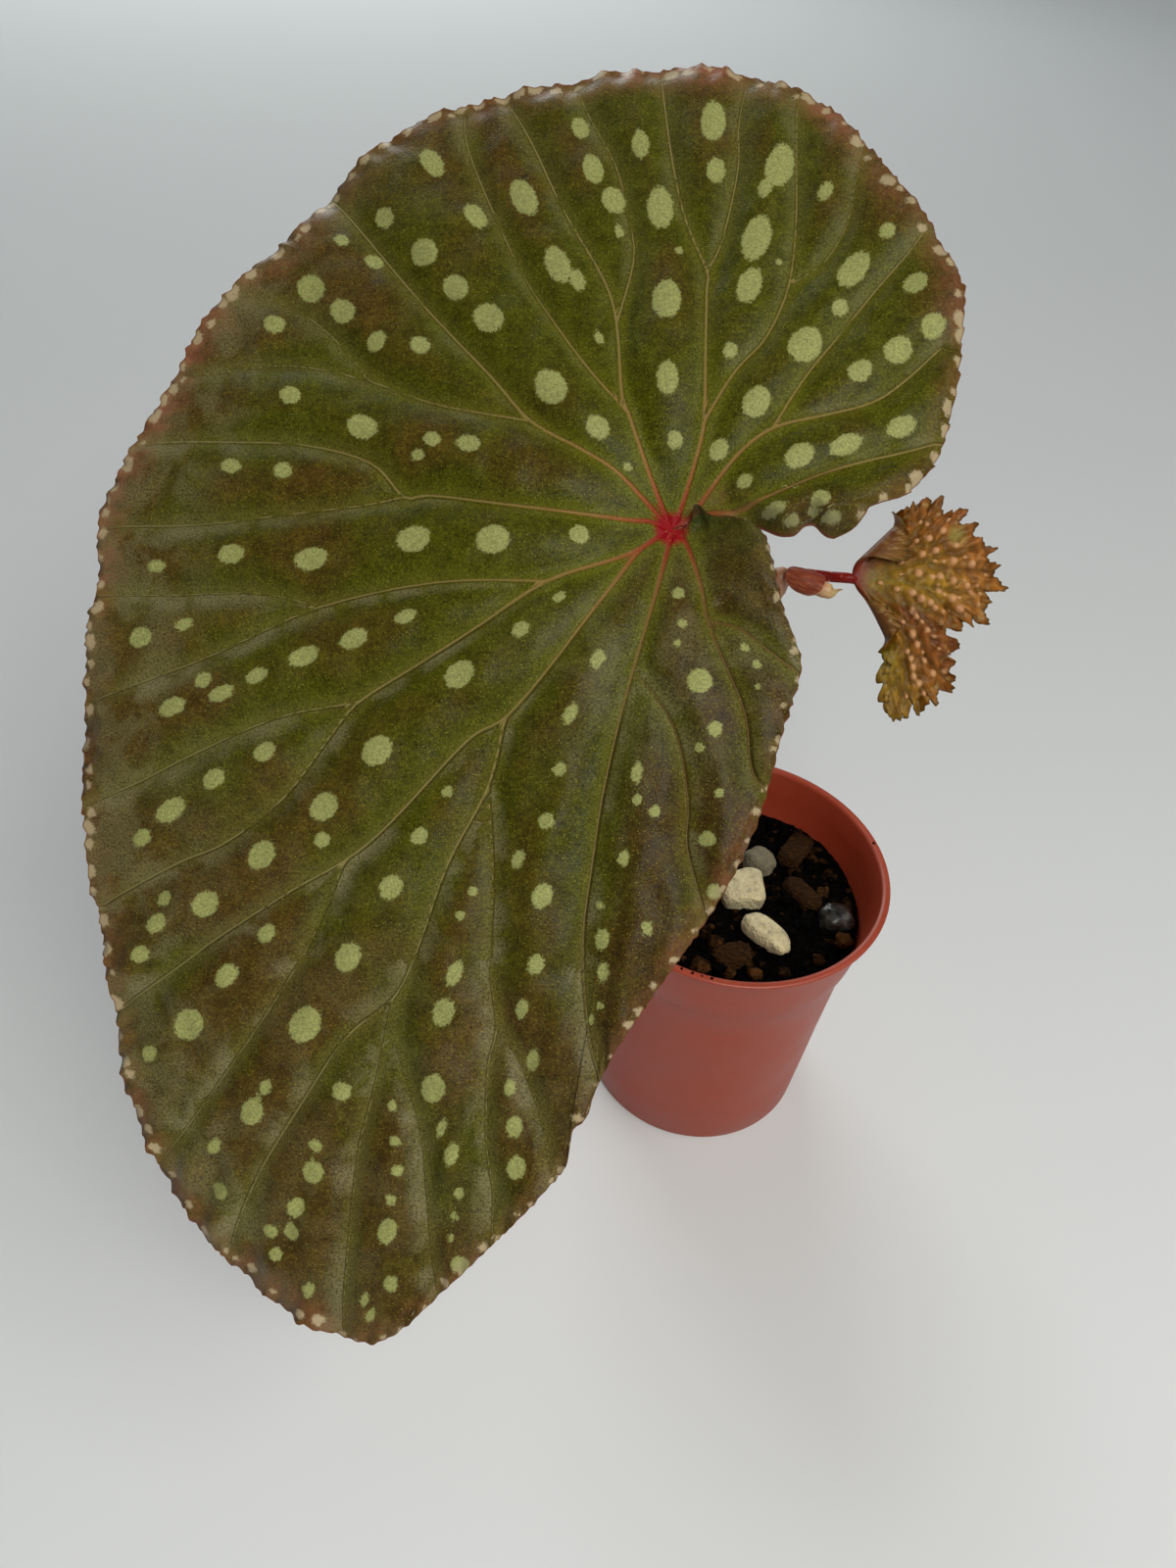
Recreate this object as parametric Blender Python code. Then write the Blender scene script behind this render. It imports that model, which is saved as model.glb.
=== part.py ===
"""Potted begonia: a small nursery pot of soil, one cane, one big spotted leaf and one young leaf.

Run with: blender --background --python part.py
World frame: origin at the centre of the pot's underside, +Z up, the big leaf leans towards -Y.
"""

import math

import bmesh
import bpy
import numpy as np
from mathutils import Euler, Matrix, Vector, noise

MM = 0.001

# Clearance left where two pieces touch
GAP = 0.3 * MM

# Pot: a thin moulded cup with a straight collar and a narrow flat lip
RIM_RADIUS = 27.5 * MM
POT_HEIGHT = 57.8 * MM
BASE_RADIUS = 21.6 * MM
SHOULDER_RADIUS = 23.85 * MM
COLLAR_HEIGHT = 13.0 * MM
COLLAR_STEP = 0.7 * MM
LIP_WIDTH = 0.9 * MM
LIP_HEIGHT = 0.9 * MM
POT_WALL = 0.7 * MM
POT_FLOOR = 0.8 * MM
POT_SEGMENTS = 64
DRAIN_COUNT = 4
DRAIN_RADIUS = 3.0 * MM
DRAIN_CIRCLE = 13.0 * MM

# Soil: fills the pot to a lumpy top below the rim
SOIL_TOP = 48.3 * MM
SOIL_LUMP = 1.1 * MM
SOIL_LUMP_SIZE = 5.5 * MM
SOIL_SEGMENTS = 44
SOIL_RINGS = 8

# Cane: stands in a plain hole in the soil and carries both leaves
CANE_FOOT = Vector((-8.0, 2.0, 36.0)) * MM
CANE_ROUTE_MM = (
    (-8.0, 2.0, 36.0),
    (-8.0, 2.0, 48.0),
    (-8.1, 2.2, 62.0),
    (-8.0, 3.0, 76.0),
    (-7.8, 3.6, 88.0),
    (-6.6, 4.2, 99.0),
    (-4.7, 4.6, 107.0),
    (-2.4, 4.3, 114.0),
)
CANE_FOOT_RADIUS = 2.2 * MM
CANE_TIP_RADIUS = 1.5 * MM
CANE_KNOTS = (0.17, 0.34, 0.50, 0.68, 0.84, 0.97)
CANE_KNOT_SWELL = 0.35 * MM
CANE_HOLE_DEPTH = 12.8 * MM

# Big leaf: its own frame has u to the leaf's right, v up the slope and n out of its face
STAR = Vector((-19.8, -5.4, 125.8)) * MM
LEAF_SLOPE = math.radians(40.0)
LEAF_ROLL = math.radians(6.0)
LEAF_THICKNESS = 0.75 * MM
LEAF_DISH = 3.0 * MM
LEAF_DISH_RADIUS = 12.0 * MM
LEAF_DROOP = 0.001 / MM
PLEAT_HEIGHT = 2.4 * MM
PLEAT_TIP_HEIGHT = 3.4 * MM
PLEAT_WIDTH = 5.0 * MM
PLEAT_MEAN = 0.6
RUFFLE_HEIGHT = 0.8 * MM
RUFFLE_LENGTH = 13.0 * MM
MARGIN_LENGTH = 475.0 * MM
TOOTH_PAIRS = 120
TOOTH_HEIGHT = 0.42 * MM
SINUS_LIFT = 1.4 * MM
SINUS_EDGE_DROP = 1.3 * MM
BIG_LEAF_ROWS = (
    (0.05, 30), (0.11, 30), (0.18, 60), (0.27, 60), (0.38, 120), (0.50, 120),
    (0.62, 120), (0.74, 240), (0.86, 240), (0.96, 240), (1.0, 240),
)

# Margin of the big leaf about its star, from the upper lobe's corner round by the tip, as (u, v)
BIG_LEAF_MARGIN_MM = (
    (22.0, -1.5), (25.5, 1.5), (30.5, 4.5), (35.0, 10.5), (37.5, 22.0), (38.0, 34.0),
    (33.0, 44.0), (25.5, 53.5), (18.5, 62.0), (7.0, 67.0), (-5.5, 68.5), (-18.0, 66.0),
    (-35.0, 61.5), (-46.5, 54.5), (-56.0, 42.5), (-65.5, 33.0), (-72.0, 21.0), (-78.5, 9.0),
    (-81.0, 1.5), (-80.0, -7.0), (-80.5, -15.0), (-80.5, -29.0), (-78.5, -45.0), (-76.0, -57.0),
    (-72.0, -74.0), (-67.5, -84.5), (-58.0, -96.5), (-47.0, -104.5), (-40.0, -107.3), (-34.5, -107.0),
    (-27.0, -99.5), (-19.5, -92.0), (-13.0, -85.5), (-10.9, -81.5), (-8.4, -76.5), (-5.4, -67.5),
    (1.0, -58.5), (7.5, -48.5), (12.0, -38.5), (15.0, -26.5), (17.0, -18.5), (14.5, -10.5),
    (12.5, -2.0), (9.5, 0.4),
)

# Both edges of the sinus as (reach in mm, bearing in degrees); they meet at the star
SINUS_UPPER_EDGE = (
    (0.0, 20.0), (5.0, 16.0), (8.0, 8.5), (10.0, 3.5), (14.0, -2.0), (22.0, -3.9),
)
SINUS_LOWER_EDGE = (
    (0.0, 4.0), (3.0, 8.0), (5.8, 11.0), (7.3, 8.5), (8.5, 4.0), (9.5, 2.4),
)
SINUS_SPREAD = math.radians(70.0)

# Veins of the big leaf as (u, v) routes: ten run from the star, the others fork off them
BIG_LEAF_VEINS_MM = (
    ((0, 0), (10, 3), (20, 7), (33, 11)),
    ((0, 0), (8, 9), (13, 13), (26, 17), (35, 25)),
    ((13, 13), (22, 27), (33, 42)),
    ((0, 0), (4, 14), (4, 36), (-1, 53), (-3, 67)),
    ((4, 36), (8, 52), (9, 65)),
    ((4, 14), (12, 26), (16, 44), (16, 62)),
    ((15, 34), (23, 44), (25, 55)),
    ((0, 0), (-6, 15), (-8, 28), (-16, 46), (-25, 64)),
    ((-8, 28), (-7, 45), (-15, 66)),
    ((-6, 15), (-20, 34), (-31, 62)),
    ((0, 0), (-7, 7), (-19, 14), (-35, 32), (-48, 52)),
    ((-19, 14), (-42, 21), (-54, 24), (-71, 24)),
    ((-42, 21), (-55, 33), (-62, 35)),
    ((0, 0), (-19, 2), (-36, 4), (-51, 12), (-74, 13)),
    ((-36, 4), (-53, 2), (-80, 1)),
    ((0, 0), (-16, -8), (-31, -8), (-47, -11), (-78, -24)),
    ((-47, -11), (-56, -9), (-79, -9)),
    ((-16, -8), (-33, -19), (-51, -37), (-75, -51)),
    ((-41, -24), (-64, -31), (-79, -38)),
    ((0, 0), (-8, -9), (-21, -26), (-42, -45), (-60, -56), (-74, -67)),
    ((-42, -45), (-50, -62), (-63, -81), (-66, -86)),
    ((-21, -26), (-28, -45), (-35, -63), (-47, -77), (-57, -97)),
    ((-35, -63), (-39, -82), (-41, -107)),
    ((-35, -67), (-30, -86), (-28, -100)),
    ((-23, -36), (-22, -58), (-22, -81), (-21, -93)),
    ((-21, -66), (-15, -77), (-13, -85)),
    ((0, 0), (-4, -18), (-9, -44), (-9, -66), (-7, -72)),
    ((-4, -19), (3, -36), (5, -53)),
    ((0, 0), (5, -13), (11, -32), (13, -34)),
    ((5, -13), (13, -17), (17, -20)),
)

# Petiole of the big leaf: leaves the cane at a knot and meets the star from below
BIG_PETIOLE_ROOT_MM = (
    (-9.6, 2.6, 88.6), (-11.6, 3.0, 96.0), (-14.8, 2.6, 106.0), (-18.0, 0.6, 115.5),
)
BIG_PETIOLE_RADIUS = 1.45 * MM
BIG_PETIOLE_FOOT = 0.5 * MM
BIG_PETIOLE_FLARE = 0.75 * MM

# Young leaf: a pleated fan with deep teeth whose two base corners roll over
YOUNG_BASE = Vector((8.03, 4.8, 114.74)) * MM
YOUNG_SLOPE = math.radians(48.0)
YOUNG_ROLL = math.radians(-8.0)
YOUNG_THICKNESS = 0.65 * MM
YOUNG_PLEAT = 1.1 * MM
YOUNG_WART = 0.55 * MM
YOUNG_DISH = 1.6 * MM
YOUNG_TEETH = 26
YOUNG_TOOTH_HEIGHT = 1.15 * MM
YOUNG_ROLL_RADIUS = 1.5 * MM
YOUNG_ROLL_TURN = math.radians(100.0)
YOUNG_FLAT_TURN = 0.6
YOUNG_FOLD_LOW = math.radians(-46.0)
YOUNG_FOLD_HIGH = math.radians(54.0)
YOUNG_FLAP_REACH = (5.5 * MM, 15.0 * MM)
YOUNG_VEIN_BEARINGS = (-57.0, -44.0, -31.0, -14.0, 1.0, 15.0, 32.0, 48.0)
YOUNG_LEAF_ROWS = (
    (0.09, 26), (0.19, 52), (0.30, 52), (0.41, 52), (0.52, 52), (0.63, 52), (0.74, 52),
    (0.84, 104), (0.92, 104), (1.0, 104),
)

# Margin of the young leaf about its base, as (bearing in degrees, reach in mm)
YOUNG_MARGIN = (
    (-76, 5.5), (-73, 8.0), (-70, 11.5), (-66, 16.0), (-61, 19.4), (-53, 20.2), (-44, 20.0),
    (-36, 19.2), (-28, 17.6), (-21, 15.2), (-18, 14.4), (-15, 16.0), (-8, 19.0), (2, 20.2),
    (10, 21.0), (20, 20.2), (34, 18.4), (46, 16.8), (56, 14.6), (64, 12.0), (70, 9.6),
    (76, 7.2), (81, 5.5),
)

# Petiole of the young leaf, from the cane's tip to the blade's base
YOUNG_PETIOLE_MM = ((-3.0, 4.6, 112.6), (-0.8, 5.9, 113.6), (1.6, 6.2, 113.8), (4.6, 5.8, 114.0))
YOUNG_PETIOLE_RADIUS = 0.75 * MM

# Leaf bud beside the young petiole, and the stipule that wraps its upper side
BUD_START = Vector((-2.2, 2.8, 115.0)) * MM
BUD_END = Vector((5.0, 0.8, 114.4)) * MM
BUD_PROFILE = (
    (0.0, 0.9), (0.1, 1.15), (0.3, 1.45), (0.6, 1.5), (0.8, 1.2), (0.93, 0.8), (1.0, 0.25),
    (1.16, 0.1),
)
STIPULE_WRAP = math.radians(78.0)
STIPULE_SIDE = math.radians(60.0)
STIPULE_CLEAR = 0.35 * MM
STIPULE_THICKNESS = 0.6 * MM

# Grains on the soil: name, half sizes and place in mm, turn in degrees, squareness, fineness, finish
GRAINS = (
    ("perlite_1", (3.9, 3.6, 3.3), (3.0, 1.6, 49.4), (12, -8, 28), 3.2, 3, "perlite"),
    ("perlite_2", (4.9, 2.6, 2.4), (7.4, -8.6, 49.6), (6, 10, -36), 2.6, 3, "perlite"),
    ("perlite_3", (3.0, 2.9, 2.6), (6.2, 9.2, 48.9), (0, 14, 40), 2.4, 2, "perlite"),
    ("grit_1", (3.1, 2.8, 2.5), (19.4, -3.8, 49.3), (0, 10, 10), 2.6, 2, "grit"),
    ("grit_2", (2.3, 2.0, 1.7), (-11.5, -13.0, 48.9), (0, 0, 30), 2.8, 2, "grit"),
    ("bark_1", (4.9, 2.3, 1.6), (13.2, 12.6, 49.0), (0, 12, 62), 3.4, 2, "bark"),
    ("bark_2", (4.4, 2.0, 1.5), (13.8, 1.6, 48.9), (0, -8, -58), 3.4, 2, "bark"),
    ("bark_3", (3.4, 2.4, 1.6), (0.6, -14.2, 48.9), (6, 0, 20), 3.0, 2, "bark"),
)
GRAIN_ROUGHNESS = 0.09
SEAT_CLEARANCE = 0.42 * MM

# Colours as linear red, green, blue, with roughness
FINISHES = {
    "terracotta plastic": ((0.26, 0.062, 0.038), 0.42),
    "potting soil": ((0.016, 0.011, 0.008), 0.95),
    "perlite": ((0.62, 0.56, 0.40), 0.9),
    "grit": ((0.10, 0.10, 0.10), 0.35),
    "bark": ((0.10, 0.040, 0.022), 0.85),
    "cane": ((0.22, 0.10, 0.06), 0.45),
    "red petiole": ((0.38, 0.02, 0.03), 0.4),
    "big leaf": ((0.050, 0.062, 0.014), 0.42),
    "young leaf": ((0.30, 0.12, 0.030), 0.45),
    "leaf bud": ((0.55, 0.36, 0.22), 0.5),
    "stipule": ((0.30, 0.085, 0.050), 0.5),
}


def clear_scene():
    for item in list(bpy.data.objects):
        bpy.data.objects.remove(item, do_unlink=True)


def finish_material(name):
    """The named finish as a Principled material, made once."""
    found = bpy.data.materials.get(name)
    if found:
        return found
    colour, roughness = FINISHES[name]
    material = bpy.data.materials.new(name)
    material.use_nodes = True
    shader = material.node_tree.nodes["Principled BSDF"]
    shader.inputs["Base Color"].default_value = (*colour, 1.0)
    shader.inputs["Roughness"].default_value = roughness
    shader.inputs["Metallic"].default_value = 0.0
    return material


def object_from_bmesh(name, bm, finish, smooth_angle=math.radians(50.0)):
    """Turn a bmesh into a linked object with its material and smooth shading."""
    mesh = bpy.data.meshes.new(name)
    bm.to_mesh(mesh)
    bm.free()
    mesh.shade_smooth()
    mesh.set_sharp_from_angle(angle=smooth_angle)
    return object_from_mesh(name, mesh, finish)


def object_from_mesh(name, mesh, finish):
    item = bpy.data.objects.new(name, mesh)
    bpy.context.scene.collection.objects.link(item)
    item.data.materials.clear()
    item.data.materials.append(finish_material(finish))
    return item


def as_cutter(item):
    """Mark an object as a cutting guide that isn't part of the plant or pot."""
    item.hide_render = True
    item.display_type = "WIRE"
    return item


def cut_by(item, cutter):
    """Subtract the cutter from the object, with the exact solver."""
    cut = item.modifiers.new("Cut by " + cutter.name, "BOOLEAN")
    cut.operation = "DIFFERENCE"
    cut.solver = "EXACT"
    cut.object = cutter


def turned(profile, segments):
    """A bmesh of (radius, height) points spun once round the Z axis."""
    bm = bmesh.new()
    points = [bm.verts.new((radius, 0.0, height)) for radius, height in profile]
    edges = [bm.edges.new(pair) for pair in zip(points, points[1:])]
    bmesh.ops.spin(
        bm, geom=points + edges, cent=(0, 0, 0), axis=(0, 0, 1),
        angle=math.tau, steps=segments, use_merge=True,
    )
    bmesh.ops.remove_doubles(bm, verts=bm.verts[:], dist=0.001 * MM)
    bmesh.ops.recalc_face_normals(bm, faces=bm.faces[:])
    return bm


def smooth_route(points, steps=8):
    """A Catmull-Rom curve through the points, as an array with one row for each sample."""
    knots = np.array(points, dtype=float)
    knots = np.vstack([2 * knots[0] - knots[1], knots, 2 * knots[-1] - knots[-2]])
    t = np.linspace(0.0, 1.0, steps, endpoint=False)[:, None]
    parts = []
    for a, b, c, d in zip(knots, knots[1:], knots[2:], knots[3:]):
        square = 2 * a - 5 * b + 4 * c - d
        cube = 3 * b - a - 3 * c + d
        parts.append(0.5 * (2 * b + (c - a) * t + square * t**2 + cube * t**3))
    return np.vstack(parts + [knots[-2:-1]])


def run_fractions(route):
    """How far along its whole length each sample of a route lies, from 0 to 1."""
    lengths = np.linalg.norm(np.diff(route, axis=0), axis=1)
    along = np.concatenate([[0.0], np.cumsum(lengths)])
    return along / along[-1]


def ease(value, low, high):
    """Smooth step from 0 at low to 1 at high."""
    x = np.clip((value - low) / (high - low), 0.0, 1.0)
    return x * x * (3 - 2 * x)


def leaf_frame(slope, roll):
    """Axes u (right), v (up the slope) and n (out of the face) of a leaf's plane."""
    u = Vector((math.cos(roll), 0.0, math.sin(roll)))
    v = Vector((0.0, math.cos(slope), math.sin(slope)))
    v = (v - u * v.dot(u)).normalized()
    return u, v, u.cross(v)


BIG_LEAF_AXES = leaf_frame(LEAF_SLOPE, LEAF_ROLL)
YOUNG_LEAF_AXES = leaf_frame(YOUNG_SLOPE, YOUNG_ROLL)


def on_leaf(base, axes, u, v, n):
    """World points of arrays of leaf coordinates."""
    frame = np.array([tuple(axis) for axis in axes])
    return np.array(tuple(base)) + np.stack([u, v, n], axis=1) @ frame


def tube(name, route, radii, finish, sides_level=3):
    """A round stem as a mesh: a bevelled poly curve through the route, with filled caps."""
    curve = bpy.data.curves.new(name, "CURVE")
    curve.dimensions = "3D"
    curve.bevel_depth = 1.0
    curve.bevel_resolution = sides_level
    curve.use_fill_caps = True
    spline = curve.splines.new("POLY")
    spline.points.add(len(route) - 1)
    for point, place, radius in zip(spline.points, route, radii):
        point.co = (*place, 1.0)
        point.radius = radius
    drawn = bpy.data.objects.new(name, curve)
    bpy.context.scene.collection.objects.link(drawn)
    shape = drawn.evaluated_get(bpy.context.evaluated_depsgraph_get())
    mesh = bpy.data.meshes.new_from_object(shape)
    bpy.data.objects.remove(drawn, do_unlink=True)
    bpy.data.curves.remove(curve)
    mesh.name = name
    mesh.shade_smooth()
    mesh.set_sharp_from_angle(angle=math.radians(60.0))
    return object_from_mesh(name, mesh, finish)


def pot_profile():
    """Outer and inner run of the pot's wall as (radius, height), from underside to floor."""
    collar_foot = POT_HEIGHT - COLLAR_HEIGHT
    collar_top_radius = RIM_RADIUS - LIP_WIDTH
    edge = 0.3 * MM
    outer = [
        (0.0, 0.0),
        (BASE_RADIUS - 2 * edge, 0.0),
        (BASE_RADIUS, 2 * edge),
        (SHOULDER_RADIUS, collar_foot - edge),
        (SHOULDER_RADIUS + COLLAR_STEP, collar_foot),
        (SHOULDER_RADIUS + COLLAR_STEP + edge / 2, collar_foot + 2 * edge),
        (collar_top_radius, POT_HEIGHT - LIP_HEIGHT),
        (RIM_RADIUS - edge / 2, POT_HEIGHT - LIP_HEIGHT + edge / 2),
        (RIM_RADIUS, POT_HEIGHT - LIP_HEIGHT + edge),
        (RIM_RADIUS, POT_HEIGHT - edge),
        (RIM_RADIUS - edge, POT_HEIGHT),
    ]
    inner = [
        (collar_top_radius - edge, POT_HEIGHT),
        (collar_top_radius - POT_WALL, POT_HEIGHT - edge),
        (SHOULDER_RADIUS + COLLAR_STEP - POT_WALL, collar_foot + 2 * edge),
        (SHOULDER_RADIUS - POT_WALL, collar_foot - edge),
        (BASE_RADIUS - POT_WALL, POT_FLOOR + 2 * edge),
        (BASE_RADIUS - POT_WALL - 2 * edge, POT_FLOOR),
        (0.0, POT_FLOOR),
    ]
    return outer, inner


def make_pot():
    """Thin cup with its collar, lip and drain holes."""
    outer, inner = pot_profile()
    wall = turned(outer + inner, POT_SEGMENTS)
    pot = object_from_bmesh("pot", wall, "terracotta plastic", math.radians(28.0))
    bm = bmesh.new()
    for index in range(DRAIN_COUNT):
        angle = math.tau * (index + 0.5) / DRAIN_COUNT
        x, y = DRAIN_CIRCLE * math.cos(angle), DRAIN_CIRCLE * math.sin(angle)
        bmesh.ops.create_cone(
            bm, cap_ends=True, segments=20, radius1=DRAIN_RADIUS, radius2=DRAIN_RADIUS,
            depth=4 * POT_FLOOR, matrix=Matrix.Translation((x, y, POT_FLOOR / 2)),
        )
    holes = as_cutter(object_from_bmesh("drain_hole_cutter", bm, "terracotta plastic"))
    cut_by(pot, holes)
    return pot


def soil_height(x, y):
    """Height of the soil's lumpy top at a place."""
    near = Vector((x, y, 0.0)) / SOIL_LUMP_SIZE
    finer = near * 2.3 + Vector((7.0, 3.0, 1.0))
    return SOIL_TOP + SOIL_LUMP * (noise.noise(near) + 0.6 * noise.noise(finer))


def make_soil(grains):
    """Soil body with the cane's hole and a seat for each grain."""
    inner = pot_profile()[1]
    side = [(radius - GAP - 0.05 * MM, height) for radius, height in inner[2:5]]
    share = (SOIL_TOP - inner[2][1]) / (inner[1][1] - inner[2][1])
    edge_radius = inner[2][0] + share * (inner[1][0] - inner[2][0]) - 2 * GAP
    floor = POT_FLOOR + GAP
    top = [(edge_radius * ring / SOIL_RINGS, SOIL_TOP) for ring in range(SOIL_RINGS + 1)]
    profile = top + side + [(side[-1][0] - 2 * GAP, floor), (0.0, floor)]
    bm = turned(profile, SOIL_SEGMENTS)
    for vert in bm.verts:
        if vert.co.z > SOIL_TOP - GAP:
            vert.co.z = soil_height(vert.co.x, vert.co.y)
    bmesh.ops.triangulate(bm, faces=bm.faces[:])
    soil = object_from_bmesh("soil", bm, "potting soil")
    hole = bmesh.new()
    middle = CANE_FOOT.z - GAP + CANE_HOLE_DEPTH
    bmesh.ops.create_cone(
        hole, cap_ends=True, segments=24, radius1=CANE_FOOT_RADIUS + CANE_KNOT_SWELL + 2 * GAP,
        radius2=CANE_FOOT_RADIUS + CANE_KNOT_SWELL + 2 * GAP, depth=2 * CANE_HOLE_DEPTH,
        matrix=Matrix.Translation((CANE_FOOT.x, CANE_FOOT.y, middle)),
    )
    cut_by(soil, as_cutter(object_from_bmesh("cane_hole_cutter", hole, "potting soil")))
    for grain in grains:
        cut_by(soil, grain)
    return soil


def grain_bmesh(half_sizes, place, turn, squareness, fineness, grow=0.0):
    """A rounded block with an uneven surface, grown by a clearance when it is used to cut its seat."""
    bm = bmesh.new()
    bmesh.ops.create_icosphere(bm, subdivisions=fineness, radius=1.0)
    shift = Vector(place)
    for vert in bm.verts:
        way = vert.co.copy()
        square = sum(abs(part) ** squareness for part in way) ** (-1.0 / squareness)
        rough = 1.0 + GRAIN_ROUGHNESS * noise.noise(way * 1.7 + shift)
        vert.co = way * square * rough
    sizes = [half * MM + grow for half in half_sizes]
    rotation = Euler([math.radians(angle) for angle in turn]).to_matrix().to_4x4()
    world = Matrix.Translation(Vector(place) * MM) @ rotation @ Matrix.Diagonal((*sizes, 1.0))
    bmesh.ops.transform(bm, matrix=world, verts=bm.verts[:])
    return bm


def make_grains():
    """Perlite, grit and bark pieces, and the cutters for their seats in the soil."""
    cutters = []
    for name, half_sizes, place, turn, squareness, fineness, finish in GRAINS:
        shape = (half_sizes, place, turn, squareness, fineness)
        object_from_bmesh(name, grain_bmesh(*shape), finish)
        grown = grain_bmesh(*shape, grow=SEAT_CLEARANCE)
        cutters.append(as_cutter(object_from_bmesh(name + "_seat", grown, finish)))
    return cutters


def cane_radii(fractions):
    """Radius along the cane: a slow taper, swollen at each knot."""
    taper = CANE_FOOT_RADIUS + (CANE_TIP_RADIUS - CANE_FOOT_RADIUS) * fractions
    swell = sum(np.exp(-((fractions - knot) / 0.018) ** 2) for knot in CANE_KNOTS)
    return taper + CANE_KNOT_SWELL * swell


def make_cane():
    route = smooth_route(CANE_ROUTE_MM, 6) * MM
    return tube("cane", route, cane_radii(run_fractions(route)), "cane")


def make_cane_clearance():
    """The cane grown by the clearance, which cuts the foot of the petiole that springs from it."""
    route = smooth_route(CANE_ROUTE_MM, 6) * MM
    return as_cutter(tube("cane_clearance", route, cane_radii(run_fractions(route)) + 1.2 * GAP, "cane"))


def make_big_petiole(cane_clearance):
    """Red leaf stalk, thicker at its foot and flared under the star."""
    normal = BIG_LEAF_AXES[2]
    under = STAR - normal * (LEAF_THICKNESS + GAP)
    top = [under - normal * 7.5 * MM, under - normal * 3.0 * MM, under]
    knots = [Vector(place) * MM for place in BIG_PETIOLE_ROOT_MM] + top
    route = smooth_route([tuple(place) for place in knots], 5)
    along = run_fractions(route)
    foot = BIG_PETIOLE_FOOT * np.exp(-along / 0.06)
    radii = BIG_PETIOLE_RADIUS + foot + BIG_PETIOLE_FLARE * ease(along, 0.93, 1.0)
    petiole = tube("big_leaf_petiole", route, radii, "red petiole")
    cut_by(petiole, cane_clearance)
    return petiole


def fan_blade(name, rows, place, thickness, finish):
    """A leaf blade as a thin closed fan over (s, t): s runs along the margin, t from the base out to it.

    Each row is (t, number of steps along s). For arrays of s and t, place gives the world points of the
    upper face and the directions in which the blade's thickness lies below them.
    """
    bm = bmesh.new()
    steps = rows[0][1]
    start = [bm.verts.new((index / steps, 0.0, 0.0)) for index in range(steps + 1)]
    edges = [bm.edges.new(pair) for pair in zip(start, start[1:])]
    for t, wanted in rows:
        grown = bmesh.ops.extrude_edge_only(bm, edges=edges)["geom"]
        for item in grown:
            if isinstance(item, bmesh.types.BMVert):
                item.co.y = t
        edges = outer_edges(bm, t)
        if wanted > steps:
            bmesh.ops.subdivide_edges(bm, edges=edges, cuts=wanted // steps - 1)
            edges = outer_edges(bm, t)
            steps = wanted
    bmesh.ops.pointmerge(bm, verts=[vert for vert in bm.verts if vert.co.y < 1e-6], merge_co=(0.5, 0.0, 0.0))
    bmesh.ops.triangulate(bm, faces=bm.faces[:])
    grown = bmesh.ops.extrude_face_region(bm, geom=bm.faces[:])["geom"]
    for item in grown:
        if isinstance(item, bmesh.types.BMVert):
            item.co.z = 1.0
    flat = np.array([tuple(vert.co) for vert in bm.verts])
    upper, below = place(flat[:, 0], flat[:, 1])
    for vert, point in zip(bm.verts, upper + below * thickness * flat[:, 2:]):
        vert.co = point
    bmesh.ops.recalc_face_normals(bm, faces=bm.faces[:])
    if bm.calc_volume(signed=True) < 0:
        bmesh.ops.reverse_faces(bm, faces=bm.faces[:])
    return object_from_bmesh(name, bm, finish)


def outer_edges(bm, t):
    """Edges along the fan's outermost row."""
    return [edge for edge in bm.edges if min(edge.verts[0].co.y, edge.verts[1].co.y) > t - 1e-5]


def distance_to_veins(u, v, routes_mm):
    """Distance from each leaf point to the nearest vein."""
    points = np.stack([u, v], axis=1)
    nearest = np.full(len(u), np.inf)
    for knots in routes_mm:
        route = smooth_route(knots, 4) * MM
        for start, end in zip(route, route[1:]):
            along = end - start
            share = np.clip((points - start) @ along / (along @ along), 0.0, 1.0)
            gap = np.linalg.norm(points - start - share[:, None] * along, axis=1)
            nearest = np.minimum(nearest, gap)
    return nearest


def big_leaf_margin(s):
    """Bearing and reach of the big leaf's margin at shares s of its length."""
    route = smooth_route(BIG_LEAF_MARGIN_MM, 12) * MM
    share = run_fractions(route)
    bearing = np.unwrap(np.arctan2(route[:, 1], route[:, 0]))
    reach = np.hypot(route[:, 0], route[:, 1])
    return np.interp(s, share, bearing), np.interp(s, share, reach)


def edge_bearing(edge, reach):
    """Bearing of a sinus edge at a reach."""
    return np.radians(np.interp(reach / MM, [row[0] for row in edge], [row[1] for row in edge]))


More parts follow.
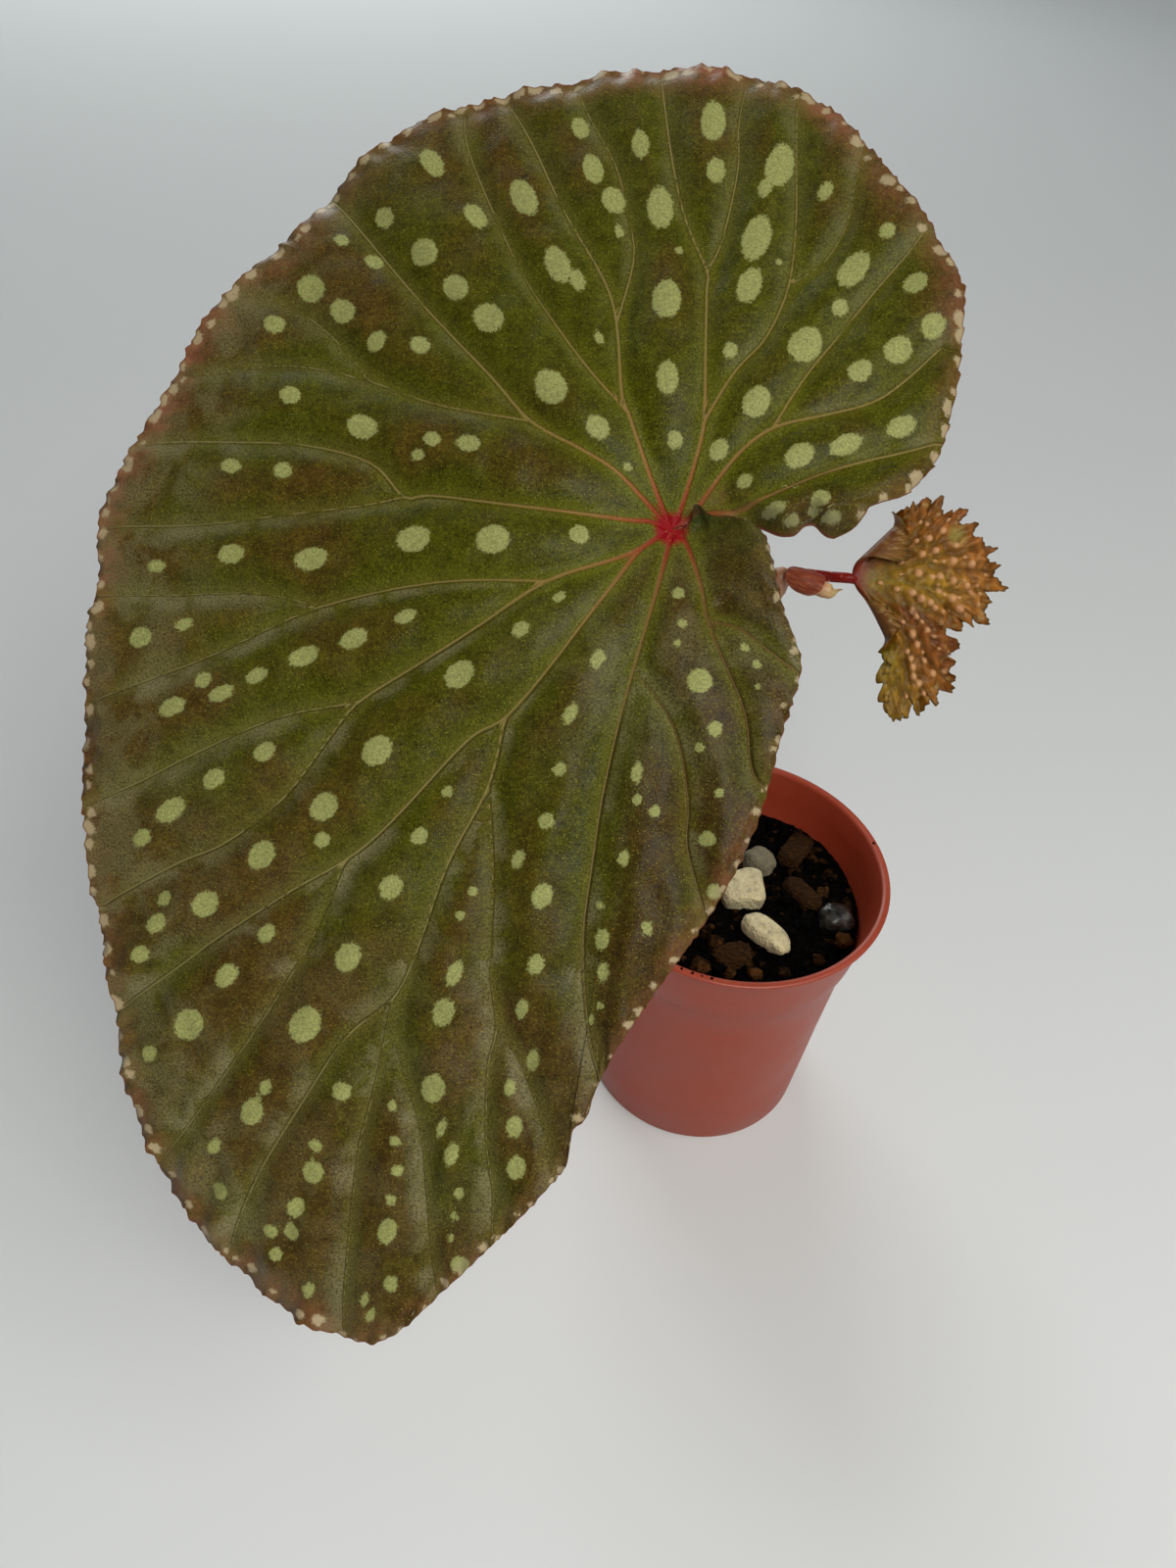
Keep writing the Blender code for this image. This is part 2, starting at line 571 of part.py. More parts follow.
def big_leaf_points(s, t):
    """World points of the big leaf's upper face, and the way down through the blade."""
    bearing, reach = big_leaf_margin(s)
    tooth = TOOTH_HEIGHT * np.cos(math.tau * TOOTH_PAIRS * s) * (t > 0.99) * ease(s, 0.0, 0.02)
    r = t * reach + tooth
    first, last = big_leaf_margin(np.array([0.0, 1.0]))[0]
    near_first = np.clip(1 - (bearing - first) / SINUS_SPREAD, 0.0, 1.0) ** 2
    near_last = np.clip(1 - (last - bearing) / SINUS_SPREAD, 0.0, 1.0) ** 2
    upper_edge = edge_bearing(SINUS_UPPER_EDGE, r)
    lower_edge = edge_bearing(SINUS_LOWER_EDGE, r) + math.tau
    way = bearing + near_first * (upper_edge - first) + near_last * (lower_edge - last)
    u, v = r * np.cos(way), r * np.sin(way)

    dish = LEAF_DISH * (1 - np.exp(-(r / LEAF_DISH_RADIUS) ** 2)) - LEAF_DROOP * r**2
    to_tip = ease(-v, 40 * MM, 100 * MM)
    pleat = PLEAT_HEIGHT + (PLEAT_TIP_HEIGHT - PLEAT_HEIGHT) * to_tip
    gap = distance_to_veins(u, v, BIG_LEAF_VEINS_MM)
    fold = pleat * (1 - np.exp(-gap / PLEAT_WIDTH) - PLEAT_MEAN * ease(r, 15 * MM, 45 * MM))
    fold = fold * ease(r, 0.0, 14 * MM)
    waves = np.sin(math.tau * s * MARGIN_LENGTH / RUFFLE_LENGTH)
    ruffle = RUFFLE_HEIGHT * waves * t**5 * ease(s, 0.0, 0.03)
    beside_lower = np.exp(-np.maximum(lower_edge - way, 0.0) * r / (5 * MM)) * near_last
    beside_upper = np.exp(-np.maximum(way - upper_edge, 0.0) * r / (3 * MM)) * near_first
    lift = SINUS_LIFT * beside_lower - SINUS_EDGE_DROP * beside_upper
    height = dish + fold + ruffle + lift * ease(r, 1.0 * MM, 6 * MM)
    none = np.zeros(len(s))
    below = on_leaf((0, 0, 0), BIG_LEAF_AXES, none, none, none - 1)
    return on_leaf(STAR, BIG_LEAF_AXES, u, v, height), below


def make_big_leaf():
    return fan_blade("big_leaf_blade", BIG_LEAF_ROWS, big_leaf_points, LEAF_THICKNESS, "big leaf")


def young_leaf_margin(s):
    """Bearing and reach of the young leaf's margin, without its teeth, at shares s of its spread."""
    polar = smooth_route(YOUNG_MARGIN, 8)
    bearing = polar[0, 0] + (polar[-1, 0] - polar[0, 0]) * s
    return np.radians(bearing), np.interp(bearing, polar[:, 0], polar[:, 1]) * MM


def young_leaf_points(s, t):
    """World points of the young leaf's upper face, and the way down through the blade.

    The fan is pleated and warty between its veins, and its base corners roll up and over.
    """
    bearing, reach = young_leaf_margin(s)
    wave = np.cos(math.tau * YOUNG_TEETH * s)
    tooth = YOUNG_TOOTH_HEIGHT * (wave * ease(t, 0.88, 1.0) + 0.3 * wave * ease(t, 0.8, 0.92))
    r = t * reach + tooth * ease(reach, 9 * MM, 17 * MM)

    nearest = np.min([np.abs(bearing - math.radians(vein)) for vein in YOUNG_VEIN_BEARINGS], axis=0)
    between = 1 - np.exp(-nearest * r / (1.1 * MM))
    wart = YOUNG_WART * np.cos(math.pi * t / 0.11) * between**3 * ease(t, 0.25, 0.45) * (1 - ease(t, 0.8, 0.9))
    dish = YOUNG_DISH * (ease(r, 0.0, 10 * MM) - 1.2 * ease(r, 10 * MM, 24 * MM))
    height = dish + YOUNG_PLEAT * between * ease(r, 2 * MM, 9 * MM) + wart

    past_high = np.maximum(bearing - YOUNG_FOLD_HIGH, 0.0)
    past_low = np.maximum(YOUNG_FOLD_LOW - bearing, 0.0)
    side = np.where(past_high > 0, 1.0, -1.0)
    arc = r * (past_high + past_low)
    rolled = 1 - ease(r, *YOUNG_FLAP_REACH)
    turn = np.minimum(arc / YOUNG_ROLL_RADIUS, YOUNG_ROLL_TURN) * rolled
    curved = np.minimum(arc, YOUNG_ROLL_TURN * YOUNG_ROLL_RADIUS)
    across = curved * np.sinc(turn / math.pi) + (arc - curved) * np.cos(turn)
    up = curved * np.sin(turn / 2) * np.sinc(turn / math.tau) + (arc - curved) * np.sin(turn)
    way = np.clip(bearing, YOUNG_FOLD_LOW, YOUNG_FOLD_HIGH)
    out_u, out_v = -side * np.sin(way), side * np.cos(way)
    u = r * np.cos(way) + across * out_u
    v = r * np.sin(way) + across * out_v
    height = height * (1 - ease(turn, 0.0, YOUNG_FLAT_TURN)) + up
    below = on_leaf(
        (0, 0, 0), YOUNG_LEAF_AXES, out_u * np.sin(turn), out_v * np.sin(turn), -np.cos(turn),
    )
    return on_leaf(YOUNG_BASE, YOUNG_LEAF_AXES, u, v, height), below


def make_young_leaf():
    return fan_blade("young_leaf_blade", YOUNG_LEAF_ROWS, young_leaf_points, YOUNG_THICKNESS, "young leaf")


def make_young_petiole(cane_clearance):
    u, _, n = YOUNG_LEAF_AXES
    end = YOUNG_BASE - u * (GAP + 0.1 * MM) - n * YOUNG_THICKNESS / 2
    knots = [Vector(place) * MM for place in YOUNG_PETIOLE_MM] + [end]
    route = smooth_route([tuple(place) for place in knots], 5)
    radii = np.full(len(route), YOUNG_PETIOLE_RADIUS)
    petiole = tube("young_leaf_petiole", route, radii, "red petiole", sides_level=2)
    cut_by(petiole, cane_clearance)
    return petiole


def make_bud(cane_clearance):
    """Pointed leaf bud that springs from the cane's tip."""
    shares = [row[0] for row in BUD_PROFILE]
    fine = np.linspace(shares[0], shares[-1], 15)
    radii = np.interp(fine, shares, [row[1] for row in BUD_PROFILE]) * MM
    route = [tuple(BUD_START.lerp(BUD_END, share)) for share in fine]
    bud = tube("leaf_bud", route, radii, "leaf bud")
    cut_by(bud, cane_clearance)
    return bud


def make_stipule():
    """Thin scoop that wraps the upper side of the bud and narrows to both ends."""
    axis = (BUD_END - BUD_START).normalized()
    length = (BUD_END - BUD_START).length
    side = axis.cross(Vector((0.0, 0.0, 1.0))).normalized()
    top = side.cross(axis)
    shares = [row[0] for row in BUD_PROFILE]
    girths = [row[1] * MM for row in BUD_PROFILE]
    bm = bmesh.new()
    bmesh.ops.create_grid(bm, x_segments=9, y_segments=9, size=1.0)
    for vert in bm.verts:
        along = 0.42 + 0.36 * vert.co.x
        wrap = STIPULE_WRAP * math.sqrt(max(1.0 - 0.93 * vert.co.x ** 2, 0.0)) * vert.co.y + STIPULE_SIDE
        girth = np.interp(along, shares, girths) + STIPULE_CLEAR
        out = top * math.cos(wrap) + side * math.sin(wrap)
        vert.co = BUD_START + axis * along * length + out * girth
    bmesh.ops.triangulate(bm, faces=bm.faces[:])
    bm.normal_update()
    middle = BUD_START.lerp(BUD_END, 0.5)
    if sum(face.normal.dot(face.calc_center_median() - middle) for face in bm.faces) < 0:
        bmesh.ops.reverse_faces(bm, faces=bm.faces[:])
    stipule = object_from_bmesh("stipule", bm, "stipule", math.radians(80.0))
    wall = stipule.modifiers.new("Stipule thickness", "SOLIDIFY")
    wall.thickness = STIPULE_THICKNESS
    wall.offset = 1.0
    return stipule


def main():
    clear_scene()
    make_pot()
    make_soil(make_grains())
    make_cane()
    cane_clearance = make_cane_clearance()
    make_big_petiole(cane_clearance)
    make_big_leaf()
    make_young_petiole(cane_clearance)
    make_young_leaf()
    make_bud(cane_clearance)
    make_stipule()


main()
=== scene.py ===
"""Potted begonia: a spotted, pleated leaf and a young leaf on a short cane in a small nursery pot.

Lengths are in metres with +Z up. The origin is the centre of the pot's underside.
"""

import math
import random

import bmesh
import bpy
import numpy as np
from bpy.props import FloatProperty, FloatVectorProperty, IntProperty, PointerProperty
from mathutils import Euler, Matrix, Vector, noise


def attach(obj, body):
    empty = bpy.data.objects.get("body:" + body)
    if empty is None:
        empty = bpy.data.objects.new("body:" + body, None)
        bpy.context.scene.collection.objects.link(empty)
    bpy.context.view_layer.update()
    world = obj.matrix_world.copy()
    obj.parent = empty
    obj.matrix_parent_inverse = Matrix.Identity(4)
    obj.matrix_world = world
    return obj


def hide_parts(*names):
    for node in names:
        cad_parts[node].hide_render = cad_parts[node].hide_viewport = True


bl_info = {
    "name": "Potted Begonia",
    "version": (1, 0, 0),
    "blender": (4, 5, 0),
    "location": "View3D > Sidebar > Begonia",
    "description": "Builds a small potted begonia with one big spotted leaf and one young leaf",
    "category": "Add Mesh",
}

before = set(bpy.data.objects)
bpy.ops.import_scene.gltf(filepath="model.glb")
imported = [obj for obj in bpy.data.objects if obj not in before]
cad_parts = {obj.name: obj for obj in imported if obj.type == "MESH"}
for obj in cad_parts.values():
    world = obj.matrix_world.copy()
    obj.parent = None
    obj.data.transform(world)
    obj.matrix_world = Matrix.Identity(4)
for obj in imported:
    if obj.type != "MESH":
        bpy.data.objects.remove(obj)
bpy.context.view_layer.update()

MM = 0.001

# Pot, as (radius, height) in mm: the outside from the foot up, then the inside down to the floor
POT_OUTSIDE = (
    (20.9, 0.0), (21.45, 0.2), (21.62, 0.7), (22.1, 10.0), (22.75, 24.0), (23.5, 38.0), (23.82, 44.3),
    (24.05, 44.75), (24.6, 44.95), (24.75, 45.3), (25.5, 50.5), (26.3, 56.0), (26.45, 56.7), (26.75, 56.92),
    (27.2, 56.98), (27.45, 57.15), (27.5, 57.4), (27.4, 57.66), (27.1, 57.8),
)
POT_INSIDE = (
    (26.5, 57.78), (26.15, 57.6), (25.95, 57.2), (25.4, 52.5), (24.0, 45.3), (23.4, 44.4), (23.1, 43.6),
    (22.0, 20.0), (20.95, 1.6), (20.6, 0.95), (20.1, 0.8),
)
DRAIN_COUNT = 4
DRAIN_CIRCLE = 13.0 * MM
DRAIN_RADIUS = 3.0 * MM

# Soil: its mean height and its side as (radius, height) in mm, the steps of its top out and round, how far
# out crumbs lie, and where some lie on the pot's lip (angles in radians)
SOIL_TOP = 48.3
SOIL_OUTSIDE = (
    (20.2, 1.15), (20.6, 1.6), (21.7, 20.0), (22.8, 43.6), (23.1, 44.6), (23.75, 46.5), (24.0, 47.8),
)
SOIL_RINGS, SOIL_SEGMENTS = 100, 300
LOOSE_REACH = 23.4 * MM
LIP_REACH, LIP_HEIGHT = 26.7 * MM, 57.75 * MM
LIP_CRUMBS = (-1.93, -1.86, -1.80, -1.74, 0.3, 2.9)

# Loose grains: name, half sizes, place (mm), turn (degrees), squareness
PERLITE = (
    ("perlite_1", (3.9, 3.6, 3.3), (2.6, 0.6, 49.4), (12, -8, 8), 4.2),
    ("perlite_2", (4.8, 2.3, 2.3), (6.5, -9.3, 49.7), (6, 10, -36), 3.0),
    ("perlite_3", (3.0, 2.9, 2.6), (6.0, 8.6, 48.9), (0, 14, 40), 2.6),
)
GRIT = (
    ("grit_1", (3.1, 2.8, 2.5), (19.4, -3.8, 49.3), (0, 10, 10), 2.6),
    ("grit_2", (2.3, 2.0, 1.7), (-11.5, -13.0, 48.9), (0, 0, 30), 2.8),
)
BARK = (
    ("bark_1", (4.9, 2.3, 1.6), (13.2, 12.6, 49.0), (0, 12, 62), 3.4),
    ("bark_2", (4.4, 2.0, 1.5), (13.8, 1.6, 48.9), (0, -8, -58), 3.4),
    ("bark_3", (3.4, 2.4, 1.6), (0.6, -14.2, 48.9), (6, 0, 20), 3.0),
)

# Brown lumps among the crumbs: x, y and radius in mm, and how pale they are
BROWN_LUMPS = (
    (-5.0, -16.9, 1.6, 0.34), (-2.4, -12.0, 1.3, 0.30), (0.1, -17.6, 1.4, 0.38), (3.4, -13.6, 1.1, 0.28),
    (4.4, -17.4, 1.3, 0.42), (-4.4, -9.6, 1.5, 0.20), (20.6, -8.0, 1.5, 0.50), (13.6, 15.6, 1.4, 0.26),
    (16.2, 10.6, 1.2, 0.34), (15.8, -13.2, 1.2, 0.30), (9.4, -16.6, 1.1, 0.24), (19.4, 7.4, 1.3, 0.20),
)

# Cane and stalks as routes in mm, and the rings that round off their ends, as angles in radians
DOME_ANGLES = (0.5, 1.0, 1.4)
CANE_ROUTE = (
    (-8.0, 2.0, 36.2), (-8.0, 2.0, 48.0), (-8.1, 2.2, 62.0), (-8.0, 3.0, 76.0), (-7.8, 3.6, 88.0),
    (-6.6, 4.2, 99.0), (-4.7, 4.6, 107.0), (-2.4, 4.3, 114.0),
)
CANE_KNOTS = (0.17, 0.34, 0.50, 0.68, 0.84, 0.97)
BIG_PETIOLE_ROUTE = (
    (-8.2, 3.2, 87.4), (-9.6, 2.6, 89.4), (-11.6, 3.0, 96.0), (-14.8, 2.6, 106.0), (-18.0, 0.6, 115.5),
)
YOUNG_PETIOLE_ROUTE = ((-2.6, 4.6, 112.9), (-0.8, 5.9, 113.6), (1.6, 6.2, 113.8), (4.6, 5.8, 114.0))
BUD_START = (-1.9, 3.0, 115.2)
BUD_END = (5.0, 0.8, 114.4)
BUD_GIRTH = (
    (0.0, 0.75), (0.1, 0.9), (0.3, 1.05), (0.6, 1.15), (0.8, 1.18), (0.92, 1.0), (0.98, 0.6), (1.03, 0.25),
    (1.14, 0.06),
)

# Paper floor, as (radius, height) in mm, and the steps round it
FLOOR_PROFILE = (
    (0.0, 0.0), (600.0, 0.0), (1200.0, 0.0), (1500.0, 0.0), (1700.0, 35.0), (1880.0, 140.0), (2010.0, 330.0),
    (2080.0, 650.0), (2100.0, 1200.0), (2100.0, 3600.0),
)
FLOOR_SEGMENTS = 96

# Big leaf: a plane through the star, with u to its right, v up the slope and n out of its face
STAR = (-19.8, -5.4, 125.8)
LEAF_SLOPE, LEAF_ROLL = math.radians(40.0), math.radians(6.0)
BIG_LEAF_MARGIN = (
    (21.4, -0.9), (24.0, 0.2), (26.0, 2.6), (30.5, 4.6), (35.0, 10.5), (37.5, 22.0), (38.0, 34.0),
    (33.4, 44.3), (26.3, 54.3), (19.3, 63.0), (7.3, 68.0), (-5.5, 68.9), (-18.2, 66.8), (-35.2, 62.2),
    (-46.5, 54.7), (-56.0, 42.5), (-65.7, 33.2), (-72.2, 21.0), (-78.5, 9.0), (-81.0, 1.5), (-80.2, -7.0),
    (-81.0, -15.0), (-81.2, -29.0), (-79.2, -45.0), (-76.5, -57.0), (-72.7, -74.4), (-68.6, -85.4),
    (-59.2, -97.8), (-48.0, -106.0), (-40.4, -108.0), (-34.5, -107.2), (-26.6, -99.9), (-19.0, -92.2),
    (-13.6, -86.2), (-11.4, -83.0), (-11.0, -79.2), (-8.9, -76.8), (-8.0, -73.8), (-5.0, -67.5),
    (1.0, -58.5), (7.5, -48.5), (12.0, -38.5), (15.0, -26.5), (17.0, -18.5), (14.5, -10.5), (12.5, -2.0),
    (9.5, 0.4),
)

# Both edges of the slit beside the stalk as (reach in mm, bearing in degrees)
SLIT_UPPER_EDGE = (
    (0.0, 20.0), (5.0, 19.0), (8.1, 14.5), (8.9, 11.5), (9.6, 8.4), (11.1, 5.0), (12.4, 0.8), (13.6, -2.2),
    (14.6, -3.4), (16.0, -3.2), (16.7, -1.2), (17.4, 1.2), (18.6, 1.8), (19.6, -0.8), (20.4, -2.2),
    (21.4, -2.4),
)
SLIT_LOWER_EDGE = (
    (0.0, 4.0), (1.9, 7.0), (2.5, 14.0), (3.2, 34.0), (3.8, 42.0), (4.3, 36.0), (4.8, 18.0), (5.8, 11.0),
    (7.3, 8.5), (8.5, 4.0), (9.5, 2.4),
)

# Veins of the big leaf: order, then the route as (u, v) in mm
BIG_LEAF_VEINS = (
    (1, ((0, 0), (4, 2), (10, 3), (20, 7), (26, 9), (33, 11), (36, 12))),
    (1, ((0, 0), (2, 1), (8, 9), (13, 13), (20, 15), (26, 17), (30, 20), (35, 25))),
    (2, ((13, 13), (17, 20), (22, 27), (27, 34), (31, 39), (33, 42))),
    (1, ((0, 0), (1, 2), (3, 9), (4, 14), (4, 23), (4, 33), (4, 36), (1, 44), (-1, 53), (-3, 67))),
    (2, ((4, 36), (6, 41), (8, 52), (8, 59), (9, 66))),
    (2, ((4, 14), (8, 21), (12, 26), (15, 34), (16, 44), (16, 55), (16, 62))),
    (3, ((15, 34), (20, 38), (23, 44), (24, 50), (25, 54))),
    (1, ((0, 0), (-3, 7), (-6, 15), (-7, 18), (-8, 28), (-10, 35), (-16, 46), (-21, 57), (-25, 64))),
    (2, ((-8, 28), (-6, 38), (-7, 45), (-9, 53), (-13, 61), (-15, 66))),
    (2, ((-6, 15), (-12, 22), (-20, 34), (-25, 44), (-30, 56), (-31, 62))),
    (1, ((0, 0), (-7, 7), (-12, 10), (-19, 14), (-25, 21), (-35, 32), (-44, 43), (-50, 50))),
    (2, ((-19, 14), (-32, 17), (-42, 21), (-54, 24), (-66, 23), (-71, 24))),
    (3, ((-42, 21), (-48, 28), (-55, 33), (-64, 35))),
    (1, ((0, 0), (-3, 1), (-6, 1), (-19, 2), (-32, 4), (-36, 4), (-41, 9), (-51, 12), (-65, 13), (-76, 13))),
    (2, ((-36, 4), (-42, 3), (-53, 2), (-65, 1), (-80, 1))),
    (2, ((-16, -8), (-31, -8), (-47, -11), (-61, -17), (-69, -20), (-80, -24))),
    (3, ((-47, -11), (-56, -9), (-68, -9), (-80, -9))),
    (1, ((0, 0), (-6, -4), (-16, -8), (-25, -14), (-33, -19), (-41, -24), (-45, -29), (-51, -37), (-59, -43),
         (-66, -46), (-77, -52))),
    (2, ((-41, -24), (-52, -26), (-64, -31), (-72, -35), (-79, -38))),
    (1, ((0, 0), (-4, -3), (-8, -9), (-15, -19), (-21, -26), (-26, -29), (-36, -40), (-42, -45), (-49, -49),
         (-60, -56), (-64, -59), (-75, -67))),
    (2, ((-42, -45), (-46, -55), (-50, -62), (-56, -71), (-63, -81), (-67, -86))),
    (1, ((-21, -26), (-23, -35), (-28, -45), (-32, -57), (-35, -63), (-41, -68), (-47, -77), (-53, -87),
         (-57, -97))),
    (2, ((-35, -63), (-37, -74), (-39, -82), (-40, -91), (-41, -103), (-41, -107))),
    (3, ((-35, -67), (-31, -79), (-30, -86), (-29, -96), (-28, -101))),
    (2, ((-23, -35), (-22, -46), (-22, -58), (-21, -66), (-22, -71), (-22, -81), (-21, -87), (-21, -93))),
    (3, ((-21, -66), (-18, -70), (-15, -77), (-13, -86))),
    (1, ((0, 0), (0, -1), (-2, -10), (-4, -18), (-6, -26), (-8, -36), (-9, -44), (-10, -54), (-9, -66),
         (-7, -73))),
    (2, ((-4, -20), (1, -27), (3, -36), (3, -42), (5, -49), (6, -53))),
    (1, ((0, 0), (2, -2), (4, -8), (5, -13), (7, -18), (10, -25), (11, -32), (13, -35))),
    (2, ((5, -13), (9, -14), (13, -17), (17, -20))),
)

# How softly the pleats of two veins meet, in mm, and how far round the slit's edges reach
VEIN_BLEND = 2.2
SLIT_SPREAD = math.radians(70.0)
MARGIN_TEETH = 235

# Rows of the big leaf's mesh from the star out, as (share of the reach, steps round)
BIG_LEAF_ROWS = tuple(
    [(0.012 * row, 60) for row in range(1, 5)] + [(0.012 * row, 120) for row in range(5, 12)]
    + [(0.012 * row, 240) for row in range(12, 24)] + [(0.012 * row, 480) for row in range(24, 62)]
    + [(0.744 + 0.0128 * row, 960) for row in range(0, 17)]
    + [(0.962, 960), (0.975, 960), (0.988, 960), (1.0, 960)]
)

# Crease across the lower lobe, and the pink flush along the margin as (share of its length, strength)
LOBE_CREASE = ((7.0, -10.5), (8.0, -9.7), (10.1, -8.6), (12.8, -10.4), (15.5, -11.1))
MARGIN_BLUSH = (
    (0.0, 0.1), (0.06, 0.25), (0.09, 0.45), (0.125, 0.25), (0.15, 0.6), (0.165, 0.75), (0.18, 0.4),
    (0.20, 0.9), (0.22, 0.8), (0.25, 0.4), (0.30, 0.3), (0.34, 0.45), (0.37, 0.6), (0.40, 0.9), (0.43, 1.0),
    (0.46, 0.9), (0.485, 0.3), (0.55, 0.2), (0.60, 0.3), (0.64, 0.4), (0.70, 0.4), (0.735, 0.25),
    (0.77, 0.2), (0.81, 0.2), (0.85, 0.25), (0.88, 0.45), (0.90, 0.3), (0.93, 0.1), (1.0, 0.05),
)

